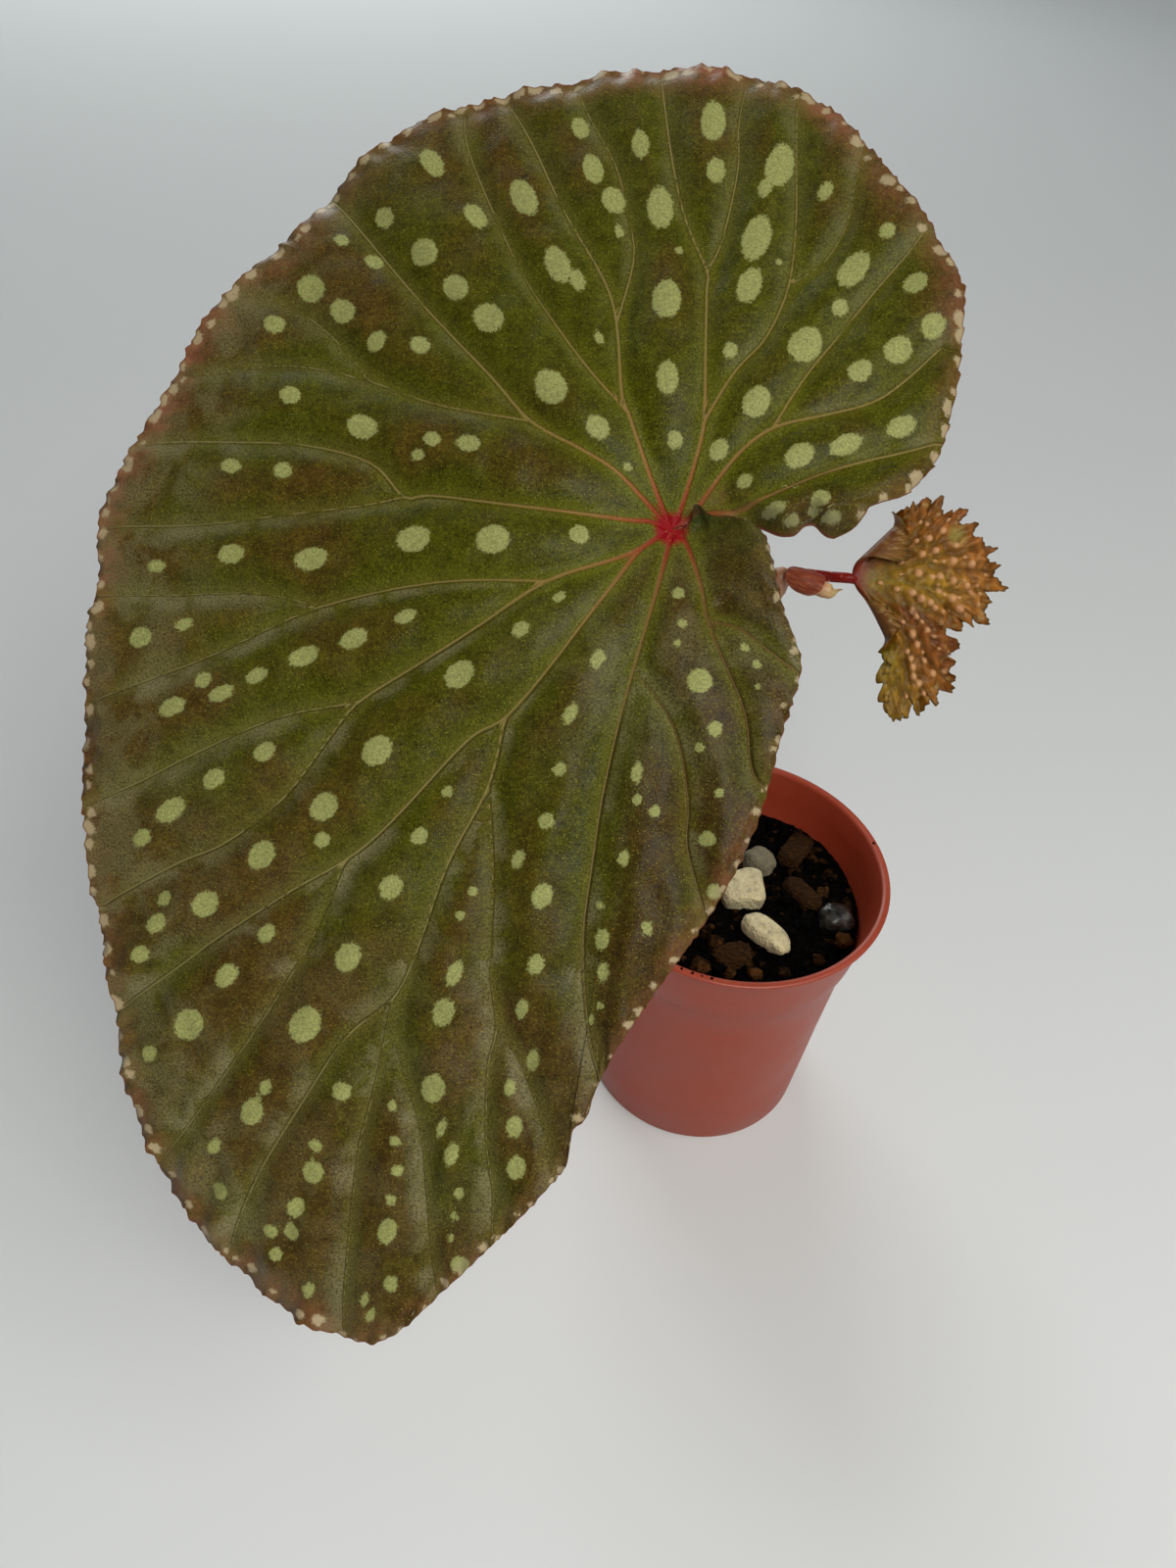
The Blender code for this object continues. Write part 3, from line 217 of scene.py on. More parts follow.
# Pale markings of the big leaf, in rows between the veins: u, v, long and short half widths in mm
BIG_LEAF_SPOTS = (
    (-14.2, 58.8, 1.8, 1.2), (-5.6, 55.5, 2.2, 1.2), (4.4, 58.9, 3.1, 1.7), (4.9, 51.2, 2, 1.3),
    (13.6, 52, 3.6, 1.9), (11.6, 48.3, 1.6, 0.9), (19.8, 47.9, 1.6, 0.9), (28, 41.7, 1.2, 1),
    (31.7, 34.1, 1.8, 1.4), (33.9, 27.8, 1.8, 1.5), (23.5, 36, 3, 1.7), (21.7, 30.3, 1.3, 1),
    (29.2, 24.1, 2.1, 1.7), (24.1, 20.8, 1.7, 1.4), (17, 24.6, 2.6, 2.1), (10.5, 40.5, 3.5, 1.9),
    (9.6, 33.2, 2.8, 1.6), (7.2, 23.6, 1.1, 0.9), (10.7, 16.3, 2.1, 1.7), (6, 10.2, 1.4, 1.2),
    (9.4, 5.9, 1, 0.9), (16.3, 8.9, 2, 1.5), (22.3, 10.5, 2.3, 1.2), (29.5, 13.3, 2, 1.3),
    (19.1, 3.1, 1.2, 1.1), (-2.6, 45.5, 3.3, 1.8), (-1.4, 30.9, 3, 1.9), (-1, 19.4, 2.3, 1.4),
    (0.2, 11.4, 1.1, 1), (-12.1, 51.8, 2.4, 1.4), (-9.1, 47, 2.2, 1.6), (-16.3, 36.7, 3, 1.6),
    (-13.6, 34.4, 1.8, 1), (-10.3, 25.8, 1, 0.6), (-16.4, 18.3, 2.5, 2), (-10, 12.8, 1.7, 1.4),
    (-6, 8, 0.6, 0.5), (-8.1, 42.1, 1, 0.6), (0.1, 38.8, 0.6, 0.5), (13.6, 37.3, 0.4, 0.4),
    (-35, 53.6, 2.5, 1.4), (-21.6, 47.5, 3.1, 1.7), (-28.3, 45, 2.2, 1.3), (-41.3, 45.2, 1.6, 1.3),
    (-35.1, 39.2, 2.2, 1.8), (-42.5, 38.8, 1.4, 1.1), (-47.3, 42, 1.1, 0.9), (-30.3, 33.6, 2.1, 1.6),
    (-25.4, 28.8, 2.4, 1.9), (-51.3, 34.9, 2.2, 1.8), (-46.3, 31.1, 2, 1.6), (-56.2, 29.7, 1.6, 1.3),
    (-41.1, 26.3, 1.3, 1.5), (-34.8, 25.3, 1.5, 1.2), (-52.8, 18.6, 1.5, 1.3), (-42.2, 13.7, 2.2, 1.6),
    (-32.2, 11.3, 1.2, 1), (-34.1, 9.3, 0.9, 0.8), (-27.1, 10.5, 1.7, 1.2), (-60.8, 8.7, 1.5, 1.1),
    (-53.1, 7.8, 1.3, 1.1), (-34, -2.4, 2.3, 1.8), (-23.2, -2.8, 2.2, 1.8), (-12, -1.7, 1.3, 1.3),
    (-48.2, -4.8, 2.4, 1.5), (-59.8, -3.8, 1.9, 1.3), (-71, -5.1, 1.3, 0.8), (-72.6, -15.1, 1.7, 1.4),
    (-66.2, -13.5, 1.3, 0.8), (-62.8, -21.2, 1.2, 1.1), (-55, -20.7, 1.6, 1), (-59.9, -23.1, 1.8, 1),
    (-67.1, -24.9, 2, 1.2), (-48.5, -18.1, 2.1, 1.3), (-41.6, -15.8, 2, 1.3), (-34.6, -12.9, 1.5, 0.9),
    (-19.1, -14.7, 1.2, 1), (-14.3, -10.2, 0.9, 0.7), (-27, -20.6, 2.1, 1.7), (-37.7, -30.7, 2.2, 1.8),
    (-53.4, -30.9, 1.6, 1.3), (-60.4, -34.6, 1.6, 1.3), (-66.5, -38.9, 2.3, 1.4), (-70.5, -42.7, 1.4, 1.1),
    (-44.7, -38.1, 2.1, 1.7), (-45, -42.5, 1.1, 0.9), (-53.2, -44.6, 2.1, 1.7), (-28.3, -35.8, 0.8, 0.7),
    (-31.7, -41.7, 1.2, 1), (-61, -51.3, 2, 1.6), (-35.2, -48.4, 1.7, 1.4), (-52.2, -54.9, 1.3, 1.1),
    (-40.7, -57.6, 2, 1.6), (-57.6, -60.7, 1.7, 1.3), (-46.5, -66.6, 2.5, 2), (-62.8, -67.4, 2.3, 1.9),
    (-26.5, -59.2, 1.7, 0.9), (-27.8, -64.2, 1.9, 1.4), (-18.6, -44.3, 1.2, 0.8), (-15.3, -48.9, 1.7, 1.2),
    (-15.9, -57.6, 1.3, 1), (-17.6, -63.4, 1.3, 0.8), (-67.1, -50.8, 1.1, 0.9), (-67.9, -54.1, 1.5, 1.2),
    (-70.2, -58.3, 1.3, 1.1), (-68.5, -71.6, 1.2, 1), (-24.5, -48.6, 0.6, 0.6), (-26, -51.7, 0.6, 0.6),
    (-29, -74.1, 1.9, 1.6), (-41.4, -75.1, 1.2, 1.3), (-51.9, -75.2, 1, 0.8), (-53.7, -78.5, 1.9, 1.5),
    (-59, -83.5, 1.1, 0.8), (-45, -85.9, 1.4, 1.5), (-44.9, -82.6, 0.8, 0.9), (-58.3, -89.5, 1.1, 1.2),
    (-47.4, -90.9, 1.3, 1.1), (-51, -94.3, 0.9, 1), (-48.1, -94.2, 1.1, 1.2), (-50, -97.2, 0.8, 0.9),
    (-45.6, -101.7, 1.1, 0.8), (-34.6, -76.8, 0.7, 0.6), (-34, -81.2, 0.6, 0.7), (-33.6, -85.1, 0.8, 0.7),
    (-34.4, -88.9, 0.7, 0.7), (-34.9, -93.1, 1.8, 1.2), (-27.9, -79.3, 1.2, 0.6), (-26.4, -82.4, 1.4, 0.9),
    (-25.4, -87.6, 0.8, 0.65), (-26.0, -90.6, 0.55, 0.6), (-26.4, -93.4, 0.5, 0.5), (-34.2, -99.9, 1.1, 0.9),
    (-37.9, -102.5, 0.9, 0.6), (-37.1, -104.5, 1, 0.6), (-18.3, -78.6, 1.4, 1), (-17.9, -83.8, 1.6, 1.2),
    (-16.1, -70, 1.4, 0.8), (-19, -73.6, 1, 0.7), (-25.1, -96.9, 1.1, 1.2), (-9, -18.5, 1.3, 0.9),
    (-12.3, -25.7, 1.4, 0.8), (-13.5, -32.8, 0.9, 0.8), (-15, -39.4, 1.1, 1), (-3.6, -33, 1.3, 0.7),
    (-3.5, -36.4, 0.7, 0.6), (-1.2, -37.8, 0.7, 0.7), (-5, -43.9, 1, 0.7), (1.1, -9.2, 0.8, 0.8),
    (1.7, -13.5, 0.6, 0.6), (1.1, -16.3, 0.5, 0.4), (4.1, -21.2, 1.6, 1.6), (6.2, -27.2, 1, 0.9),
    (4.3, -29.6, 0.6, 0.6), (6.9, -35.3, 0.6, 0.6), (5.5, -41.1, 1, 1), (9.7, -16.6, 0.6, 0.5),
    (11.3, -18.8, 0.6, 0.5), (11.4, -21.7, 0.3, 0.3), (-7.9, -49.9, 0.5, 0.5), (-1.8, -52.6, 0.9, 0.7),
    (-7.5, -54.2, 1.4, 0.9), (-7.3, -58.3, 1.2, 0.7), (-7.7, -62.5, 0.5, 0.5), (-8.8, -64.5, 0.7, 0.4),
    (6.6, -47.7, 1, 0.9), (13.3, 2.1, 1.5, 0.8), (15.6, 0.7, 1.1, 0.6), (18.5, 2.0, 0.9, 0.6),
    (20.6, 0.9, 1.2, 0.6),
)

# Young leaf: its margin from the lower flap round to the upper one, as (u, v) in mm about its base
YOUNG_BASE = (8.03, 4.8, 114.74)
YOUNG_SLOPE, YOUNG_ROLL = math.radians(48.0), math.radians(-8.0)
YOUNG_LOW_FLAP = ((1.5, -4.0), (2.1, -5.8), (2.6, -7.2), (3.5, -8.4), (4.6, -9.2), (5.7, -9.6), (6.4, -10.1))
YOUNG_TOOTHED_EDGE = (
    (6.6, -10.9), (7.9, -11.6), (8.2, -12.6), (7.3, -12.9), (6.4, -14.2), (8.2, -14.1), (8.8, -15.6),
    (7.5, -16.8), (9.1, -16.7), (8.5, -17.6), (9.7, -19.1), (10.3, -18.5), (10.9, -18.9), (11.1, -17.9),
    (12.1, -18.3), (12.4, -15.9), (13.7, -17.5), (14.7, -14.9), (15.9, -15.6), (15.9, -13.3), (17.7, -13.1),
    (17.3, -11.8), (17.9, -11.2), (16.8, -10.2), (17.4, -8.9), (15.2, -8.8), (16.9, -7.0), (16.1, -5.7),
    (14.7, -5.5), (14.7, -4.6), (13.5, -4.2), (15.4, -4.2), (15.8, -3.8), (16.7, -4.4), (17.3, -2.6),
    (18.8, -3.1), (18.6, -1.3), (21.1, -2.2), (20.3, 0.1), (21.0, 1.2), (19.7, 2.4), (22.7, 3.3),
    (20.4, 4.9), (20.5, 6.3), (18.7, 7.2), (19.9, 8.6), (18.2, 9.2), (17.3, 9.8), (15.9, 9.8), (16.3, 11.6),
    (13.6, 11.0), (14.5, 13.0), (13.3, 13.2), (12.4, 12.0), (11.9, 12.3), (10.7, 11.6), (9.9, 13.9),
    (9.3, 13.3), (8.8, 11.4), (8.2, 10.7), (8.5, 12.9), (7.2, 12.9), (6.2, 11.4), (5.6, 12.0), (5.7, 10.8),
    (4.7, 10.8),
)
YOUNG_HIGH_FLAP = ((3.9, 10.0), (2.2, 9.9), (0.6, 9.0), (-0.6, 7.9), (-1.6, 7.2), (-2.6, 6.3), (-2.4, 4.6))
YOUNG_RIBS = (
    ((0.0, 0.0), (4.0, 1.6), (9.0, 4.2), (12.3, 6.3), (17.1, 8.3)),
    ((9.0, 4.2), (11.3, 4.2), (14.8, 4.4), (19.0, 5.2)),
    ((0.0, 0.0), (5.6, 0.7), (10.0, 0.8), (15.4, 1.3), (20.0, 2.4)),
    ((9.8, 0.8), (12.4, -0.6), (16.5, -2.2)),
    ((0.0, 0.0), (3.2, -0.5), (5.5, -2.1), (8.3, -2.2), (11.3, -2.5), (13.9, -2.9)),
    ((0.0, 0.0), (4.0, -2.2), (7.5, -4.3), (10.3, -6.1), (12.0, -8.1), (13.6, -9.7), (17.0, -11.5)),
    ((0.0, 0.0), (4.5, -3.5), (7.8, -5.9), (9.2, -7.7), (12.1, -11.7), (13.2, -13.4), (13.5, -16.8)),
    ((7.8, -5.9), (8.6, -7.4), (10.0, -10.9), (10.6, -13.9), (10.2, -17.5)),
    ((0.0, 0.0), (5.1, 3.1), (7.7, 6.0), (11.5, 7.7), (15.0, 10.6)),
    ((5.1, 3.1), (6.6, 7.5), (9.1, 11.0), (9.6, 13.0)),
)

# Warts of the young leaf: u, v and radius in mm
YOUNG_WARTS = (
    (8.7, 2.4, 0.66), (8.7, 5.2, 0.60), (9.9, -1.1, 0.66), (8.4, -0.5, 0.66), (14.2, 2.6, 0.66),
    (12.0, 2.7, 0.60), (10.9, 2.3, 0.46), (14.6, 0.1, 0.70), (16.1, -1.1, 0.70), (11.1, 9.3, 0.60),
    (9.3, 7.7, 0.54), (10.6, 6.2, 0.60), (13.6, 5.4, 0.70), (16.6, 5.6, 0.66), (6.2, -0.4, 0.46),
    (3.9, 0.1, 0.36), (11.4, -1.3, 0.58), (12.3, -1.9, 0.50), (12.3, 0.6, 0.48), (13.3, 0.3, 0.34),
    (16.6, 2.4, 0.54), (17.4, 1.5, 0.48), (18.1, 2.8, 0.38), (19.4, 4.8, 0.31), (15.9, 3.0, 0.26),
    (6.4, 1.8, 0.24), (9.8, -6.3, 0.70), (10.9, -7.6, 0.60), (12.6, -9.6, 0.48), (14.3, -11.1, 0.62),
    (10.5, -9.8, 0.48), (11.1, -10.9, 0.58), (11.5, -12.2, 0.55), (12.6, -13.0, 0.58), (9.7, -8.9, 0.43),
    (11.8, -5.3, 0.48), (12.9, -6.0, 0.34), (12.1, -8.5, 0.31), (9.8, -3.8, 0.43), (10.7, -4.3, 0.38),
    (16.3, -10.3, 0.48), (8.9, -3.1, 0.48), (8.6, 9.7, 0.38), (7.6, 9.7, 0.34), (13.7, -2.1, 0.36),
    (15.6, 0.4, 0.34), (18.9, 0.1, 0.36), (18.8, 1.8, 0.31), (13.6, 7.7, 0.48), (6.0, 3.5, 0.43),
    (12.2, 4.9, 0.31), (10.8, 4.7, 0.31), (7.5, 6.9, 0.41), (13.7, -14.2, 0.41), (11.3, -15.2, 0.34),
    (8.1, -4.9, 0.36), (14.1, -7.6, 0.31), (11.6, 11.0, 0.34), (15.3, 6.3, 0.31), (12.1, 1.5, 0.26),
)

# Base corners of the young leaf: where the upper one starts to roll, how far both reach, and the roll, in mm
YOUNG_FOLD_HIGH = math.radians(55.0)
YOUNG_FLAP_LOW, YOUNG_FLAP_HIGH, YOUNG_FLAP_FADE = 9.4, 9.0, 2.6
YOUNG_ROLL_RADIUS = 1.15
YOUNG_ROLL_TURN = math.radians(165.0)

YOUNG_LEAF_ROWS = tuple(
    [(0.015 * row, 80) for row in range(1, 6)] + [(0.015 * row, 160) for row in range(6, 17)]
    + [(0.015 * row, 320) for row in range(17, 50)] + [(0.745 + 0.015 * row, 960) for row in range(0, 18)]
)

# Faces whose corners all belong to one marking: the spread of their keys stays below this
SAME_MARKING = 0.00002

# Camera: its place, its right and its up, its sensor in mm and the lens as a share of it
CAMERA_PLACE = (-27.4 * MM, -138.2 * MM, 203.7 * MM)
CAMERA_RIGHT, CAMERA_UP = Vector((0.99494, 0.0691, 0.073)), Vector((-0.1005, 0.6840, 0.7225))
SENSOR_HEIGHT = 36.0
FOCAL_SHARE = 1155.0 / 1600.0


def colour(code):
    """An sRGB hex value as linear red, green, blue and alpha."""
    parts = [int(code[place:place + 2], 16) / 255 for place in (1, 3, 5)]
    linear = [part / 12.92 if part <= 0.04045 else ((part + 0.055) / 1.055) ** 2.4 for part in parts]
    return (*linear, 1.0)


def shaded(tone, factor):
    """A colour made lighter or darker."""
    return tuple(min(part * factor, 1.0) for part in tuple(tone)[:3]) + (1.0,)


def paint(code, name, description):
    """A colour that the user can change, with its default as a hex value."""
    return FloatVectorProperty(
        name=name, description=description, subtype="COLOR", size=4, min=0.0, max=1.0, default=colour(code),
    )


def measure(millimetres, name, description):
    """A length that the user can change, with its default in mm."""
    return FloatProperty(
        name=name, description=description, unit="LENGTH", subtype="DISTANCE", default=millimetres * MM,
    )


class BegoniaSizes(bpy.types.PropertyGroup):
    blade_thickness: measure(0.55, "Blade thickness", "Thickness of the big leaf's blade")
    pleat_height: measure(2.5, "Pleat height", "How far the blade rises between two veins")
    tooth_length: measure(0.6, "Tooth length", "Length of the fine teeth on the big leaf's margin")
    young_thickness: measure(0.42, "Young blade thickness", "Thickness of the young leaf's blade")
    wart_height: measure(0.5, "Wart height", "Height of the warts on the young leaf")
    crumb_count: IntProperty(
        name="Crumbs", description="Number of loose crumbs on the soil", default=1100, min=0, max=4000,
    )
    pot_segments: IntProperty(
        name="Pot segments", description="Steps round the pot", default=160, min=24, max=512,
    )


class BegoniaColours(bpy.types.PropertyGroup):
    pot: paint("#983b23", "Pot", "Moulded pot")
    soil: paint("#050302", "Soil", "Damp potting soil")
    bark: paint("#38230f", "Bark", "Composted bark")
    perlite: paint("#c8bd96", "Perlite", "Expanded perlite")
    leaf_green: paint("#434507", "Leaf green", "Blade beside the veins")
    leaf_bronze: paint("#493810", "Leaf bronze", "Blade between the veins")
    leaf_spot: paint("#93965a", "Leaf spots", "Pale markings of the big leaf")
    leaf_blush: paint("#a0604c", "Leaf blush", "Pink flush along the margin")
    vein_red: paint("#8e1018", "Red veins", "Veins beside the star")
    vein_pale: paint("#8c8654", "Pale veins", "Veins towards the margin")
    young_brown: paint("#6e4212", "Young leaf brown", "Blade of the young leaf")
    young_green: paint("#74600e", "Young leaf green", "Ribs and lower lobe of the young leaf")
    wart: paint("#c69468", "Warts", "Warts of the young leaf")
    stalk: paint("#700f08", "Stalks", "Leaf stalks")
    bud: paint("#dba48e", "Bud", "Leaf bud")
    floor: paint("#d3d5d7", "Floor", "Studio floor")


def ease(value, low, high):
    """Smooth step from 0 at low to 1 at high."""
    x = np.clip((value - low) / (high - low), 0.0, 1.0)
    return x * x * (3 - 2 * x)


def smooth_route(points, steps=8):
    """A Catmull-Rom curve through the points, as an array with one row for each sample."""
    knots = np.array(points, dtype=float)
    knots = np.vstack([2 * knots[0] - knots[1], knots, 2 * knots[-1] - knots[-2]])
    t = np.linspace(0.0, 1.0, steps, endpoint=False)[:, None]
    parts = []
    for a, b, c, d in zip(knots, knots[1:], knots[2:], knots[3:]):
        square = 2 * a - 5 * b + 4 * c - d
        cube = 3 * b - a - 3 * c + d
        parts.append(0.5 * (2 * b + (c - a) * t + square * t**2 + cube * t**3))
    return np.vstack(parts + [knots[-2:-1]])


def run_lengths(route):
    """Length along a route up to each sample."""
    return np.concatenate([[0.0], np.cumsum(np.linalg.norm(np.diff(route, axis=0), axis=1))])


def length_shares(route):
    """The share of a route's whole length at each sample."""
    lengths = run_lengths(route)
    return lengths / lengths[-1]


def ripples(u, v, length, seed, waves=14):
    """Smooth random relief of about -1 to 1 over leaf places in mm, with bumps of the given length."""
    draw = np.random.default_rng(seed)
    total = np.zeros(len(u))
    for _ in range(waves):
        way = draw.uniform(0, math.tau)
        size = length * draw.uniform(0.7, 1.6)
        total += np.sin(math.tau * (u * math.cos(way) + v * math.sin(way)) / size + draw.uniform(0, math.tau))
    return total / math.sqrt(waves)


def add(beside, kind, inputs=(), out=0, stops=(), **settings):
    """Add a node with its settings, its links or values and its ramp stops, and give one of its outputs.

    It goes into the tree that is given, or beside the socket that is given. A colour may be a hex value.
    """
    tree = beside.id_data
    node = tree.nodes.new("ShaderNode" + kind)
    for name, value in settings.items():
        setattr(node, name, value)
    for key, value in dict(inputs).items():
        if isinstance(value, bpy.types.NodeSocket):
            tree.links.new(value, node.inputs[key])
        else:
            node.inputs[key].default_value = colour(value) if isinstance(value, str) else value
    for index, (place, shade) in enumerate(stops):
        stop = node.color_ramp.elements[index] if index < 2 else node.color_ramp.elements.new(place)
        stop.position = place
        stop.color = colour(shade) if isinstance(shade, str) else shade
    return node.outputs[out]


def blend(share, base, over):
    """A colour between two colours."""
    return add(share, "Mix", {0: share, 6: base, 7: over}, out=2, data_type="RGBA")


def tinted(base, tint, share=1.0):
    """A colour multiplied by a colour or by a number."""
    return add(base, "Mix", {0: share, 6: base, 7: tint}, out=2, data_type="RGBA", blend_type="MULTIPLY")


def times(first, *others):
    """The product of some numbers."""
    for other in others:
        first = add(first, "Math", {0: first, 1: other}, operation="MULTIPLY")
    return first


def plus(first, second, clamp=False):
    """The sum of two numbers."""
    return add(first, "Math", {0: first, 1: second}, operation="ADD", use_clamp=clamp)


def span(value, low, high, start=0.0, end=1.0, way="LINEAR"):
    """A number that goes from start to end while the value goes from low to high."""
    return add(value, "MapRange", {0: value, 1: low, 2: high, 3: start, 4: end}, interpolation_type=way)


def smooth_span(value, *numbers):
    """A span that starts and ends softly."""
    return span(value, *numbers, way="SMOOTHSTEP")


def noisy(where, scale, detail, roughness=0.5, distortion=0.0):
    """Fractal noise of about 0 to 1."""
    return add(where, "TexNoise", {
        "Vector": where, "Scale": scale, "Detail": detail, "Roughness": roughness, "Distortion": distortion,
    })


def cellular(where, scale, **settings):
    """Distance in a net of random cells."""
    return add(where, "TexVoronoi", {"Vector": where, "Scale": scale}, **settings)


def graded(value, *stops):
    """A colour from a ramp with these stops."""
    return add(value, "ValToRGB", {0: value}, stops=stops)


def stored(tree, name, out="Fac"):
    """A value that the mesh stores for each point."""
    return add(tree, "Attribute", out=out, attribute_name=name)


def all_stored(tree, *names):
    """Some numbers that the mesh stores for each point."""
    return [stored(tree, name) for name in names]


def object_place(tree, stretch=None):
    """The place on the object in metres, stretched where a pattern runs lengthwise."""
    place = add(tree, "TexCoord", out="Object")
    return add(tree, "Mapping", {"Vector": place, "Scale": stretch}) if stretch else place


def bump(height, strength, distance, below=None, invert=False):
    """A normal raised by a height, on top of another one."""
    inputs = {"Height": height, "Strength": strength, "Distance": distance}
    if below:
        inputs["Normal"] = below
    return add(height, "Bump", inputs, invert=invert)


def new_material(name):
    """An empty node material and its tree."""
    material = bpy.data.materials.new(name)
    material.use_nodes = True
    material.node_tree.nodes.clear()
    return material, material.node_tree


def skinned(material, tone, rough, relief, inputs=(), scatter=()):
    """Close a material with its surface. Scatter is the weight, radius and scale of light in its flesh."""
    tree = material.node_tree
    surface = {"Base Color": tone, "Roughness": rough, "Normal": relief, **dict(inputs)}
    surface.update(zip(("Subsurface Weight", "Subsurface Radius", "Subsurface Scale"), scatter))
    output = tree.nodes.new("ShaderNodeOutputMaterial")
    tree.links.new(add(tree, "BsdfPrincipled", surface), output.inputs["Surface"])
    return material


def linked(name, data):
    """A new object with this data, in the scene."""
    thing = bpy.data.objects.new(name, data)
    bpy.context.scene.collection.objects.link(thing)
    return thing


def smooth_object(name, bm, materials):
    """A new smooth object from a bmesh, which is freed."""
    mesh = bpy.data.meshes.new(name)
    bm.to_mesh(mesh)
    bm.free()
    mesh.shade_smooth()
    for material in materials:
        mesh.materials.append(material)
    return linked(name, mesh)


def put_piece(name, bm, materials, nodes=(), smooth_angle=math.radians(60)):
    """Make a bmesh a finished piece: shaded, riding on the plant and standing for its CAD nodes."""
    piece = smooth_object(name, bm, materials)
    piece.data.set_sharp_from_angle(angle=smooth_angle)
    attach(piece, "root")
    if nodes:
        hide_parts(*nodes)
    return piece


def set_values(mesh, name, values):
    """Store one number, or one vector, for each point of a mesh."""
    kind, key = ("FLOAT", "value") if values.ndim == 1 else ("FLOAT_VECTOR", "vector")
    layer = mesh.attributes.new(name, kind, "POINT")
    layer.data.foreach_set(key, np.ascontiguousarray(values, dtype=np.float32).ravel())


def turned(profile_mm, segments):
    """A bmesh of (radius, height) points spun once round the Z axis."""
    bm = bmesh.new()
    points = [bm.verts.new((radius * MM, 0.0, height * MM)) for radius, height in profile_mm]
    edges = [bm.edges.new(pair) for pair in zip(points, points[1:])]
    bmesh.ops.spin(
        bm, geom=points + edges, cent=(0, 0, 0), axis=(0, 0, 1),
        angle=math.tau, steps=segments, use_merge=True,
    )
    bmesh.ops.remove_doubles(bm, verts=bm.verts[:], dist=0.002 * MM)
    bmesh.ops.recalc_face_normals(bm, faces=bm.faces[:])
    return bm


def round_stem(route_mm, radii_mm, sides=20):
    """A bmesh of a closed round stem: a circle extruded ring by ring along its route."""
    route = [Vector(place) * MM for place in route_mm]
    ways = [(after - before).normalized() for before, after in zip(route[:1] + route, route[1:] + route[-1:])]
    bm = bmesh.new()
    bmesh.ops.create_circle(bm, segments=sides, radius=1.0)
    turn = Vector((0, 0, 1)).rotation_difference(ways[0])
    edges = bm.edges[:]
    ring = bm.verts[:]
    now = Matrix.Identity(4)
    for index, (place, radius) in enumerate(zip(route, radii_mm)):
        if index:
            turn = ways[index - 1].rotation_difference(ways[index]) @ turn
            grown = bmesh.ops.extrude_edge_only(bm, edges=edges)["geom"]
            ring = [item for item in grown if isinstance(item, bmesh.types.BMVert)]
            new = set(ring)
            edges = list({edge for vert in ring for edge in vert.link_edges if edge.other_vert(vert) in new})
        scale = Matrix.Diagonal((radius * MM, radius * MM, radius * MM, 1.0))
        wanted = Matrix.Translation(place) @ turn.to_matrix().to_4x4() @ scale
        bmesh.ops.transform(bm, matrix=wanted @ now.inverted(), verts=ring)
        now = wanted
    bmesh.ops.holes_fill(bm, edges=bm.edges[:])
    bmesh.ops.recalc_face_normals(bm, faces=bm.faces[:])
    return bm


def rounded_ends(route, radii, first=True, last=True):
    """Add small rings to either end of a stem, so that it closes in a dome."""
    route, radii = [np.array(place, dtype=float) for place in route], list(radii)
    for wanted, end, beside in ((last, -1, -2), (first, 0, 1)):
        if not wanted:
            continue
        way = route[end] - route[beside]
        way /= np.linalg.norm(way)
        place, radius = route[end], radii[end]
        places = [place + way * radius * math.sin(angle) for angle in DOME_ANGLES]
        sizes = [radius * math.cos(angle) for angle in DOME_ANGLES]
        if end == -1:
            route, radii = route + places, radii + sizes
        else:
            route, radii = places[::-1] + route, sizes[::-1] + radii
    return route, radii


def outer_edges(items, t):
    """The edges among these items that lie along the fan's row t."""
    return [
        item for item in items
        if isinstance(item, bmesh.types.BMEdge) and min(item.verts[0].co.y, item.verts[1].co.y) > t - 1e-5
    ]


def leaf_fan(rows):
    """A bmesh of a thin closed fan over (s, t, face): s along the margin, t from the base out, face 0 or 1.

    Each row is (t, number of steps along s). Face 0 is the upper side.
    """
    bm = bmesh.new()
    steps = rows[0][1]
    start = [bm.verts.new((index / steps, 0.0, 0.0)) for index in range(steps + 1)]
    edges = [bm.edges.new(pair) for pair in zip(start, start[1:])]
    for t, wanted in rows:
        grown = bmesh.ops.extrude_edge_only(bm, edges=edges)["geom"]
        for item in grown:
            if isinstance(item, bmesh.types.BMVert):
                item.co.y = t
        edges = outer_edges(grown, t)
        if wanted > steps:
            grown = bmesh.ops.subdivide_edges(bm, edges=edges, cuts=wanted // steps - 1)["geom"]
            edges = outer_edges(grown, t)
            steps = wanted
    hub = [vert for vert in bm.verts if vert.co.y < 1e-7]
    bmesh.ops.pointmerge(bm, verts=hub, merge_co=(0.5, 0.0, 0.0))
    bmesh.ops.triangulate(bm, faces=[face for face in bm.faces if len(face.verts) > 4])
    grown = bmesh.ops.extrude_face_region(bm, geom=bm.faces[:])["geom"]
    for item in grown:
        if isinstance(item, bmesh.types.BMVert):
            item.co.z = 1.0
    for face in bm.faces:
        face.material_index = 0 if max(vert.co.z for vert in face.verts) < 0.5 else 1
    return bm


